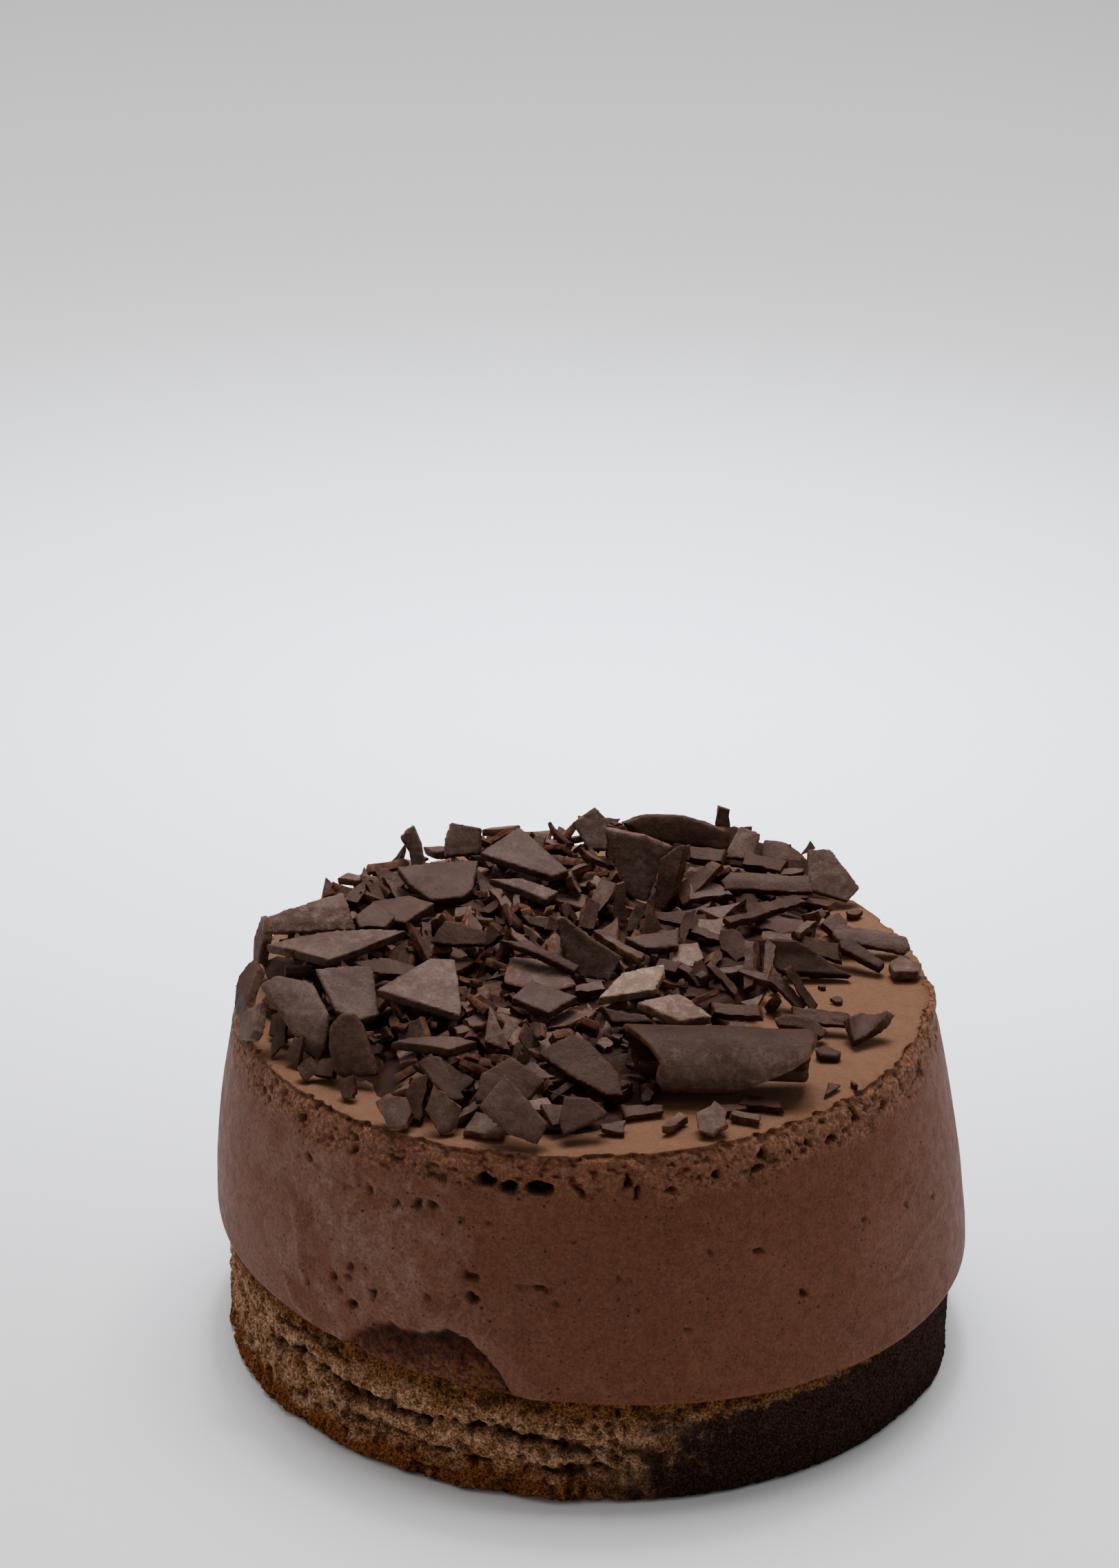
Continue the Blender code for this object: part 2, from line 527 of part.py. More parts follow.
def cut(body, cutters):
    """Takes each cutter out of the body and keeps the largest piece that is left."""
    for cutter in cutters:
        cutter.hide_render = True
        cutter.display_type = "WIRE"
        taken = body.modifiers.new("room_" + cutter.name, "BOOLEAN")
        taken.operation = "DIFFERENCE"
        taken.solver = "MANIFOLD"         # EXACT loses the heap at one of these many cuts
        taken.object = cutter
    bpy.context.view_layer.update()
    depsgraph = bpy.context.evaluated_depsgraph_get()
    mesh = bpy.data.meshes.new_from_object(body.evaluated_get(depsgraph))
    body.modifiers.clear()
    whole = bmesh.new()
    whole.from_mesh(mesh)
    bmesh.ops.dissolve_limit(whole, angle_limit=FLAT_ANGLE, verts=whole.verts[:], edges=whole.edges[:])
    pieces, seen = [], set()
    for start in whole.faces:
        if start in seen:
            continue
        piece, waiting = [], [start]
        seen.add(start)
        while waiting:
            face = waiting.pop()
            piece.append(face)
            for other in {near for edge in face.edges for near in edge.link_faces} - seen:
                seen.add(other)
                waiting.append(other)
        pieces.append(piece)
    pieces.sort(key=lambda piece: sum(face.calc_area() for face in piece))
    loose = [face for piece in pieces[:-1] for face in piece]
    bmesh.ops.delete(whole, geom=loose, context="FACES")
    whole.to_mesh(mesh)
    whole.free()
    mesh.name = body.name
    body.data = mesh


def main():
    for old in list(bpy.data.objects):
        bpy.data.objects.remove(old)
    parts = collection("chocolate_mousse_cake")
    cutters = collection("cutters")
    mousse = material("mousse", MOUSSE_COLOUR, MOUSSE_ROUGHNESS)
    sponge = material("sponge", SPONGE_COLOUR, SPONGE_ROUGHNESS)
    chocolate = material("chocolate", CHOCOLATE_COLOUR, CHOCOLATE_ROUGHNESS)

    sponge_base(sponge, parts)
    mousse_body(mousse, parts)
    curl_roll("shaving_roll_front", chocolate, parts)
    rooms = [roll_cutter(chocolate, cutters)]
    for name, form in SHAVINGS.items():
        shaving(name, finish=chocolate, into=parts, **form)
        rooms.append(shaving(name + "_room", finish=chocolate, into=cutters, margin=ROOM_MARGIN, **form))
    heap = shavings_heap(chocolate, parts)
    cut(heap, rooms)


main()
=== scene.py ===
"""The looks of the small chocolate mousse cake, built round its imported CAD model.

Lengths in this script are in millimetres and become metres when a mesh or a light is made.
"""
import math
from functools import partial
from itertools import product

import bmesh
import bpy
import numpy as np
from mathutils import Matrix, Vector
from mathutils.bvhtree import BVHTree


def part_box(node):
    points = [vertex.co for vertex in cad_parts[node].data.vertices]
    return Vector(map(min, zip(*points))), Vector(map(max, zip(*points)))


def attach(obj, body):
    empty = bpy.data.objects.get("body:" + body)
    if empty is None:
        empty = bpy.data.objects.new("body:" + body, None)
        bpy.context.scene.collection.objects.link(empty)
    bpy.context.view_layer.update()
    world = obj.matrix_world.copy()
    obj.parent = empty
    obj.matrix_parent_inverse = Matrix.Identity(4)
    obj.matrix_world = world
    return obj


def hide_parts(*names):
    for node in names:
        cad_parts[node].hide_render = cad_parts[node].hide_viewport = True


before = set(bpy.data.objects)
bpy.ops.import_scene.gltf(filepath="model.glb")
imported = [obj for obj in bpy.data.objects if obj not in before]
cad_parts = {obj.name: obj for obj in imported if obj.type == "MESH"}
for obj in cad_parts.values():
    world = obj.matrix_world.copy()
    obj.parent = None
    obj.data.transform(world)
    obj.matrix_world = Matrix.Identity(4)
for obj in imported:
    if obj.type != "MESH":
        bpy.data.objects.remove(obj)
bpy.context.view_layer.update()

MM = 0.001
RNG = np.random.default_rng(11)


def box_mm(node):
    low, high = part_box(node)
    return np.array(low) / MM, np.array(high) / MM


# ---------------------------------------------------------------- sizes read from the frame

MOUSSE_LOW, MOUSSE_HIGH = box_mm("mousse_body")
HEAP_REACH = box_mm("shavings_heap")[1][1]

MOUSSE_RADIUS = (MOUSSE_HIGH[1] - MOUSSE_LOW[1]) / 2
FOOT_X = MOUSSE_HIGH[0] - MOUSSE_RADIUS
TOP_X = -1.0
TOP_RADIUS = MOUSSE_RADIUS - 4.1
WALL_LEAN_IN = 3.7
WALL_CURVE = 1.6
SPONGE_RADIUS = MOUSSE_RADIUS - 1.5

# The planes of the mousse's foot and top, as part.py sets them: height at the middle, slopes in X and Y
FOOT_PLANE = (13.85, -0.037, 0.03)
TOP_PLANE = (39.3, 0.037, 0.022)
GAP = 0.3                      # between the mousse and the sponge
TORN_BAND = 4.6                # how far down from the top the wall is torn
TORN_STEP = 0.35
# Places round the cake, in degrees from +X
FRONT = -90
SMEAR_AND_SHEEN_SIDE = -127
NOTCH_MIDDLE = -113
LIP_MIDDLE = -3
MOIST_START = -79
MOIST_END = 40


# ---------------------------------------------------------------- noise and small helpers

def lattice(ix, iy, iz, seed):
    n = (ix * 374761393 + iy * 668265263 + iz * 1274126177 + seed * 974711) & 0xFFFFFFFF
    n = ((n ^ (n >> 13)) * 1274126177) & 0xFFFFFFFF
    return ((n ^ (n >> 16)) & 0xFFFF) / 32767.5 - 1


def noise(points, size, seed=0):
    """Smooth noise from -1 to 1 at (n, 3) points, with features of the given size."""
    p = np.asarray(points, float) / size
    cell = np.floor(p).astype(np.int64)
    f = p - cell
    f = f * f * (3 - 2 * f)
    x, y, z = cell.T
    weights = ((1 - f).T, f.T)
    total = 0
    for dx, dy, dz in product((0, 1), repeat=3):
        weight = weights[dx][0] * weights[dy][1] * weights[dz][2]
        total = total + weight * lattice(x + dx, y + dy, z + dz, seed)
    return total


def fractal(points, size, octaves, seed=0):
    total, weight, reach = 0, 1.0, 0.0
    for octave in range(octaves):
        total = total + weight * noise(points, size / 2 ** octave, seed + 17 * octave)
        reach += weight
        weight *= 0.55
    return total / reach


def step(value, low, high):
    """0 below low, 1 above high, smooth between."""
    t = np.clip((value - low) / (high - low), 0, 1)
    return t * t * (3 - 2 * t)


def bump(distance, half_width):
    """1 at the middle, falling smoothly to 0 at half_width."""
    t = np.clip(np.abs(distance) / half_width, 0, 1)
    return (1 - t * t) ** 2


def turn_between(angle, middle):
    """Degrees from middle to angle, from -180 to 180."""
    return (np.degrees(angle) - middle + 180) % 360 - 180


def plane(spec, x, y):
    return spec[0] + spec[1] * x + spec[2] * y


def middle_x(h):
    """Where the leaning middle line of the mousse is, from its foot (h = 0) to its top (h = 1)."""
    return FOOT_X + (TOP_X - FOOT_X) * h


def mesh_object(name, points, faces, finish):
    """A mesh object from points in millimetres; faces is a list of index arrays, one row a face."""
    mesh = bpy.data.meshes.new(name)
    sizes = np.concatenate([np.full(len(f), f.shape[1]) for f in faces])
    corners = np.concatenate([f.ravel() for f in faces])
    mesh.vertices.add(len(points))
    mesh.vertices.foreach_set("co", (np.asarray(points, float) * MM).ravel())
    mesh.loops.add(len(corners))
    mesh.loops.foreach_set("vertex_index", corners)
    mesh.polygons.add(len(sizes))
    mesh.polygons.foreach_set("loop_start", np.concatenate([[0], np.cumsum(sizes)[:-1]]))
    mesh.update(calc_edges=True)
    mesh.validate()
    mesh.shade_smooth()
    mesh.materials.append(finish)
    made = bpy.data.objects.new(name, mesh)
    bpy.context.scene.collection.objects.link(made)
    return made


def paint(piece, name, values):
    """Keeps a number at each point of a mesh, for its material to read."""
    kept = piece.data.attributes.new(name, "FLOAT", "POINT")
    kept.data.foreach_set("value", np.asarray(values, np.float32))


def paint_rings(piece, **grids):
    """Keeps numbers over the rings of a mesh, and 0 at the two points that close its ends."""
    for name, grid in grids.items():
        paint(piece, name, np.append(grid, [0, 0]))


def noise_over(points, shape):
    """A short call for noise over a grid of points."""
    def wild(size, octaves=1, seed=0, stretch=(1, 1, 1)):
        return fractal(points * np.array(stretch), size, octaves, seed).reshape(shape)
    return wild


def ring_faces(rows, columns):
    """Quads between rings of points, and a fan at each end round one more point."""
    row, column = np.meshgrid(np.arange(rows - 1), np.arange(columns), indexing="ij")
    beside = (column + 1) % columns
    a, b = row * columns + column, row * columns + beside
    quads = np.stack([a, a + columns, b + columns, b], axis=-1).reshape(-1, 4)
    first, last, around = rows * columns, rows * columns + 1, np.arange(columns)
    beside = (around + 1) % columns
    top = np.stack([around, beside, np.full(columns, first)], axis=-1)
    end = (rows - 1) * columns
    bottom = np.stack([end + beside, end + around, np.full(columns, last)], axis=-1)
    return [quads, top, bottom]


def ring_points(rings):
    """Flattens (rows, columns, 3) rings and adds the middles of the first and the last."""
    rings = np.asarray(rings)
    return np.concatenate([rings.reshape(-1, 3), rings[0].mean(0)[None], rings[-1].mean(0)[None]])


# ---------------------------------------------------------------- materials

class Shader:
    """Short calls for building one node material."""

    def __init__(self, name, roughness, specular=0.3):
        self.material = bpy.data.materials.new(name)
        self.material.use_nodes = True
        self.tree = self.material.node_tree
        self.out = self.tree.nodes["Principled BSDF"]
        self.out.inputs["Roughness"].default_value = roughness
        self.out.inputs["Specular IOR Level"].default_value = specular
        self.place = self.tree.nodes.new("ShaderNodeTexCoord").outputs["Object"]

    def node(self, kind, **inputs):
        made = self.tree.nodes.new("ShaderNode" + kind)
        for key, value in inputs.items():
            self.set(made.inputs[key.replace("_", " ")], value)
        return made

    def set(self, socket, value):
        if isinstance(value, bpy.types.NodeSocket):
            self.tree.links.new(value, socket)
        else:
            socket.default_value = value

    def noise(self, size, detail=3, roughness=0.6, stretch=None):
        place = self.place
        if stretch:
            place = self.node("Mapping", Vector=place, Scale=stretch).outputs[0]
        made = self.node("TexNoise", Vector=place, Scale=1 / (size * MM), Detail=detail, Roughness=roughness)
        return made.outputs["Fac"]

    def cells(self, size):
        return self.node("TexVoronoi", Vector=self.place, Scale=1 / (size * MM)).outputs["Distance"]

    def attribute(self, name):
        made = self.tree.nodes.new("ShaderNodeAttribute")
        made.attribute_name = name
        return made.outputs["Fac"]

    def ramp(self, value, low, high, start=0.0, end=1.0):
        made = self.node("MapRange", Value=value)
        made.interpolation_type = "SMOOTHSTEP"
        for key, number in (("From Min", low), ("From Max", high), ("To Min", start), ("To Max", end)):
            made.inputs[key].default_value = number
        return made.outputs["Result"]

    def math(self, operation, a, b=0.0):
        made = self.tree.nodes.new("ShaderNodeMath")
        made.operation = operation
        self.set(made.inputs[0], a)
        self.set(made.inputs[1], b)
        return made.outputs[0]

    def times(self, a, b):
        return self.math("MULTIPLY", a, b)

    def mix(self, amount, a, b, blend="MIX"):
        """Colours are (r, g, b) or sockets."""
        made = self.tree.nodes.new("ShaderNodeMix")
        made.data_type = "RGBA"
        made.blend_type = blend
        self.set(made.inputs[0], amount)
        for socket, value in ((made.inputs[6], a), (made.inputs[7], b)):
            self.set(socket, value if isinstance(value, bpy.types.NodeSocket) else (*value, 1))
        return made.outputs[2]

    def bump(self, heights, strength=1.0):
        """heights is a list of (value, millimetres)."""
        normal = None
        for value, depth in heights:
            made = self.node("Bump", Height=value, Distance=depth * MM, Strength=strength)
            if normal is not None:
                self.tree.links.new(normal, made.inputs["Normal"])
            normal = made.outputs[0]
        self.tree.links.new(normal, self.out.inputs["Normal"])

    def finish(self, colour, roughness=None):
        self.tree.links.new(colour, self.out.inputs["Base Color"])
        if roughness is not None:
            self.tree.links.new(roughness, self.out.inputs["Roughness"])
        return self.material


def mousse_material():
    s = Shader("mousse_finish", 0.7, 0.17)
    broad, middling = s.noise(9, 3), s.noise(1.6, 4)
    fine, grain = s.noise(0.45, 3, 0.7), s.noise(0.22, 2, 0.7)
    torn, crumb, disc = s.attribute("torn"), s.noise(0.48, 4, 0.75), s.attribute("disc")
    colour = s.mix(s.ramp(broad, 0.3, 0.7), (0.12, 0.0375, 0.014), (0.14, 0.0455, 0.0185))
    colour = s.mix(s.ramp(middling, 0.35, 0.75, 0, 0.6), colour, (0.094, 0.0255, 0.0088))
    # pale smears on the wall: partly real smears, partly a painted sheen
    colour = s.mix(s.times(s.attribute("smear"), s.ramp(middling, 0.35, 0.65, 0.25, 1)), colour,
                   (0.195, 0.104, 0.074))
    crumbs = s.mix(s.ramp(crumb, 0.36, 0.62), (0.105, 0.035, 0.0145), (0.305, 0.134, 0.07))
    colour = s.mix(s.times(torn, 0.9), colour, crumbs)
    colour = s.mix(s.ramp(fine, 0.38, 0.62, 0.52, 0), colour, (0.052, 0.015, 0.0058))
    colour = s.mix(s.ramp(grain, 0.5, 0.7, 0, 0.38), colour, (0.225, 0.092, 0.05))
    pores = s.ramp(s.cells(0.62), 0.1, 0.26, 1, 0)
    pores = s.times(pores, s.ramp(s.noise(2.4, 2), 0.46, 0.58))
    dots = s.times(s.ramp(s.cells(1.7), 0.06, 0.12, 1, 0), s.ramp(s.noise(3.1, 2), 0.44, 0.54))
    holes = s.math("MAXIMUM", s.times(pores, 0.6), s.times(dots, 0.9))
    holes = s.times(holes, s.ramp(disc, 0, 1, 1, 0.25))
    colour = s.mix(s.times(disc, 0.55), colour, (0.122, 0.039, 0.015))
    # painted shade: the pores and small holes are painted dark
    colour = s.mix(holes, colour, (0.024, 0.007, 0.0032))
    colour = s.mix(s.attribute("soaked"), colour, s.mix(s.ramp(crumb, 0.36, 0.62), (0.024, 0.0048, 0.0014),
                                                       (0.098, 0.022, 0.006)))
    colour = s.mix(s.attribute("crumbed"), colour, s.mix(s.ramp(crumb, 0.38, 0.58), (0.034, 0.0085, 0.0025),
                                                        (0.165, 0.056, 0.019)))
    # painted shade in cracks, pits and gaps of the torn band, and a painted shadow line under the notch's
    # upper edge
    colour = s.mix(s.attribute("pit"), colour, (0.014, 0.0045, 0.0025))
    colour = s.mix(disc, colour, s.mix(1.0, colour, (1.12, 1.58, 1.92), "MULTIPLY"))
    s.bump([(middling, 0.08), (fine, 0.1), (grain, 0.05), (s.math("SUBTRACT", 1.0, holes), 0.16),
            (s.times(crumb, s.math("MAXIMUM", torn, s.attribute("soaked"))), 0.45)])
    return s.finish(colour, s.ramp(middling, 0.3, 0.7, 0.6, 0.75))


def sponge_material():
    s = Shader("sponge_finish", 0.9, 0.02)
    clump, crumb, grain = s.noise(1.7, 4), s.noise(0.55, 4, 0.7), s.noise(0.26, 3, 0.75)
    colour = s.mix(s.ramp(clump, 0.32, 0.68), (0.27, 0.112, 0.044), (0.56, 0.31, 0.178))
    colour = s.mix(s.ramp(crumb, 0.36, 0.56, 0.85, 0), colour, (0.085, 0.032, 0.01))
    colour = s.mix(s.ramp(grain, 0.36, 0.52, 0.75, 0), colour, (0.08, 0.032, 0.01))
    colour = s.mix(s.ramp(grain, 0.52, 0.68, 0, 0.75), colour, (0.8, 0.505, 0.31))
    colour = s.mix(s.times(s.attribute("golden"), s.ramp(crumb, 0.3, 0.6, 1, 0.85)), colour,
                   s.mix(s.ramp(grain, 0.38, 0.62), (0.026, 0.0075, 0.0018), (0.21, 0.08, 0.019)))
    colour = s.mix(s.times(s.attribute("crust"), s.ramp(crumb, 0.35, 0.65, 1, 0.75)), colour,
                   s.mix(s.ramp(grain, 0.4, 0.6), (0.04, 0.0095, 0.0018), (0.29, 0.086, 0.017)))
    # painted shade in the splits, pores and crevices of the crumb
    colour = s.mix(s.attribute("hollow"), colour, (0.026, 0.01, 0.0038))
    wet = s.mix(s.ramp(grain, 0.44, 0.66), (0.014, 0.0068, 0.005), (0.07, 0.036, 0.025))
    colour = s.mix(s.attribute("moist"), colour, wet)
    s.bump([(clump, 0.2), (crumb, 0.4), (grain, 0.3)])
    return s.finish(colour)


def chocolate_material():
    """Dark chocolate: a little bloom on the smooth faces, redder and rougher where it broke."""
    s = Shader("chocolate_finish", 0.6, 0.1)
    shade = s.attribute("shade")
    broad, cloud, grain = s.noise(5, 3), s.noise(1.1, 4, 0.65), s.noise(0.3, 3, 0.7)
    colour = s.mix(s.ramp(broad, 0.32, 0.68), (0.056, 0.0275, 0.0196), (0.089, 0.052, 0.0395))
    bloom = s.times(s.ramp(cloud, 0.42, 0.72, 0, 0.55), s.math("MINIMUM", shade, 1.1))
    colour = s.mix(bloom, colour, (0.145, 0.1, 0.08))
    colour = s.mix(s.ramp(grain, 0.34, 0.52, 0.4, 0), colour, (0.02, 0.0085, 0.0055))
    specks = s.ramp(s.cells(0.8), 0.05, 0.12, 1, 0)
    colour = s.mix(s.times(specks, 0.5), colour, (0.2, 0.11, 0.058))
    edge = s.mix(s.ramp(cloud, 0.35, 0.65), (0.048, 0.0165, 0.0085), (0.125, 0.052, 0.0265))
    colour = s.mix(s.attribute("broken"), colour, edge)
    # the shade attribute is each piece's tone, and on some pieces painted light and shade too
    colour = s.mix(1.0, colour, shade, "MULTIPLY")
    # the darkest pieces are the reddest, and the palest a little greener
    redder = s.mix(1, colour, (1.12, 0.84, 0.7), "MULTIPLY")
    colour = s.mix(s.ramp(shade, 0.4, 1, 0.85, 0), colour, redder)
    greener = s.mix(1, colour, (0.95, 1.08, 0.98), "MULTIPLY")
    colour = s.mix(s.ramp(shade, 1.6, 2.1), colour, greener)
    s.bump([(cloud, 0.05), (grain, 0.06)])
    return s.finish(colour, s.ramp(cloud, 0.3, 0.7, 0.5, 0.7))


# ---------------------------------------------------------------- the mousse body

TORN_CRACKS = (
    # degrees round from +X, distance below the top, half width and half height, depth
    (-104.2, 2.9, 1.25, 0.62, 1.6), (-100, 3.2, 0.85, 0.6, 1.5), (-95.9, 3.2, 1.15, 0.7, 1.6),
    (-90.2, 3.3, 0.35, 0.55, 0.7), (-83.2, 2.6, 0.35, 0.7, 0.9), (-81.6, 3.6, 0.4, 0.8, 0.9),
    (-76.5, 3.6, 0.75, 0.28, 0.7), (-68.2, 2.8, 0.4, 0.5, 0.9), (-61.9, 3, 0.45, 0.4, 0.8),
    (-60.5, 2, 0.35, 0.7, 0.9), (-52, 2.2, 0.5, 0.5, 0.9), (-47, 2.8, 0.55, 0.45, 1),
    (-41, 1.8, 0.35, 0.8, 0.8), (-34, 2.6, 0.5, 0.4, 0.7), (-28, 1.8, 0.35, 0.9, 0.8),
    (-20, 2.4, 0.6, 0.5, 0.8), (-12, 1.8, 0.35, 0.8, 0.8), (-112, 3.4, 0.7, 0.25, 0.5),
    (-120, 2.6, 0.6, 0.3, 0.6), (-128, 3.1, 0.5, 0.5, 0.7), (-139, 2.4, 0.35, 0.6, 0.7),
    (-151, 2.6, 0.5, 0.4, 0.7), (-166, 2.2, 0.4, 0.6, 0.7), (18, 2.4, 0.6, 0.4, 0.8),
    (47, 2.9, 0.5, 0.5, 0.8), (84, 2.2, 0.8, 0.3, 0.8), (121, 2.7, 0.5, 0.5, 0.8),
    (158, 2.3, 0.6, 0.35, 0.7),
)
WALL_PITS = (
    # degrees round from +X, height, half width and half height, depth
    (-136.7, 31.8, 0.55, 0.45, 0.8), (-118.5, 30.9, 0.5, 0.5, 0.6), (-114.9, 31.6, 0.55, 0.5, 0.6),
    (-112.7, 31.8, 0.5, 0.45, 0.6), (-106.4, 25.2, 1, 0.55, 0.6), (-106.1, 23, 0.5, 0.55, 1),
    (-95.8, 24.8, 0.9, 0.25, 0.8), (-98.6, 24.9, 1.1, 0.16, 0.3), (-94.1, 23.2, 0.45, 0.3, 0.4),
    (-126.4, 22.6, 0.45, 0.5, 0.5), (-129.8, 20.7, 0.35, 0.6, 0.5), (-127.1, 21.3, 0.55, 0.3, 0.5),
    (-128.7, 19.5, 0.4, 0.35, 0.4), (-126, 18.5, 0.75, 0.38, 0.9), (-122.3, 20.5, 0.38, 0.5, 0.7),
    (-113, 22.1, 0.35, 0.3, 0.4), (-135, 18.6, 0.3, 0.4, 0.4), (-123.3, 31.5, 0.35, 0.45, 0.5),
    (-107.9, 31, 0.5, 0.35, 0.4), (-103.6, 30.9, 0.6, 0.3, 0.35), (-127.4, 36, 0.5, 0.4, 0.5),
    (-132.5, 34.9, 0.45, 0.35, 0.4), (-84.1, 26.1, 1.25, 0.14, 0.35), (-62.6, 27.6, 0.42, 0.26, 0.6),
    (-56, 22, 0.5, 0.28, 0.6), (-91.2, 30.2, 0.35, 0.25, 0.3), (-83.7, 30.4, 0.6, 0.14, 0.3),
    (-75.1, 20.3, 0.45, 0.28, 0.4), (-93.6, 23, 0.35, 0.25, 0.3), (-70.6, 28.3, 0.3, 0.22, 0.4),
    (-82.1, 23, 0.3, 0.2, 0.3), (-42.5, 27, 0.35, 0.35, 0.4), (-32.5, 25.9, 0.35, 0.35, 0.4),
    (-24.1, 24.6, 0.35, 0.3, 0.4), (22, 26, 0.4, 0.35, 0.5), (58, 21, 0.6, 0.25, 0.5),
    (95, 29, 0.45, 0.4, 0.5), (134, 23, 0.5, 0.3, 0.5), (170, 28, 0.4, 0.4, 0.5),
)
WALL_FOLDS = (
    # half width, height, how pale (a pale smear with painted sheen along the fold); then points as degrees
    # round from +X and heights
    (2.2, 0.45, 0.45, ((-112, 20.3), (-105.1, 19.8), (-102.2, 18), (-100, 15.9), (-97.6, 13.4))),
    (3.4, 0.5, 0.25, ((-112.6, 24.6), (-110.6, 24.8))),
    (0.45, -0.28, 0, ((-108.4, 27.2), (-107.2, 25.6), (-107.3, 23.9), (-108.9, 22.4))),
    (0.32, -0.22, 0, ((-136.2, 31.7), (-130, 31.1), (-126.2, 30.8))),
    (0.9, 0.22, 0.9, ((-138.6, 25.6), (-137.2, 22.6), (-137.3, 20.3), (-135.8, 18.6))),
    (0.35, -0.16, 0, ((-136.6, 22.6), (-136.5, 20.3), (-135, 18.6))),
    (0.8, 0.22, 0.8, ((-140.2, 17), (-138, 15.4), (-134.8, 14.6))),
    (0.9, 0.24, 0.9, ((-127.6, 28.4), (-127.6, 25.2), (-125.9, 23.8))),
    (0.8, 0.2, 0.8, ((-127.2, 33.6), (-125.7, 30.7), (-127.1, 27.5))),
    (0.5, 0.3, 0.4, ((-115.6, 32.5), (-113.7, 33), (-111.6, 32.4))),
    (0.5, 0.16, 0.7, ((-38, 19.6), (-34, 20.6), (-27, 22), (-18, 22.4))),
    (0.4, 0.12, 0.6, ((-44, 23.2), (-36, 24.6), (-28, 27.6))),
)
# The piece torn out of the foot: its upper edge, as degrees round from +X and heights
NOTCH_EDGE = ((-131, 12), (-126.5, 14.8), (-122.5, 17.3), (-119.5, 17.8), (-116.6, 17.9), (-112.5, 18.4),
              (-108.5, 18.9), (-106.6, 18.6), (-104.6, 17), (-102.4, 15.2), (-100.3, 12))
NOTCH_DEPTH = 0.95


def hollows(around, height, middle_radius, spots):
    """Depth, in millimetres, of a list of small oval hollows; around is in degrees."""
    depth = np.zeros_like(height)
    for angle, level, half_width, half_height, deep in spots:
        across = np.radians((around - angle + 180) % 360 - 180) * middle_radius / half_width
        up = (height - level) / half_height
        depth = np.maximum(depth, deep * step(1.2 - np.hypot(across, up), 0, 0.55))
    return depth


def distance_to_line(around, height, line):
    """Millimetres on the unrolled wall from a line of (degrees, height) points."""
    mm_a_degree = math.radians(1) * MOUSSE_RADIUS
    nearest = np.full_like(height, 99.0)
    for (angle_a, level_a), (angle_b, level_b) in zip(line, line[1:]):
        u, v = (around - angle_a) * mm_a_degree, height - level_a
        along = np.array([(angle_b - angle_a) * mm_a_degree, level_b - level_a])
        share = np.clip((u * along[0] + v * along[1]) / (along @ along), 0, 1)
        nearest = np.minimum(nearest, np.hypot(u - share * along[0], v - share * along[1]))
    return nearest


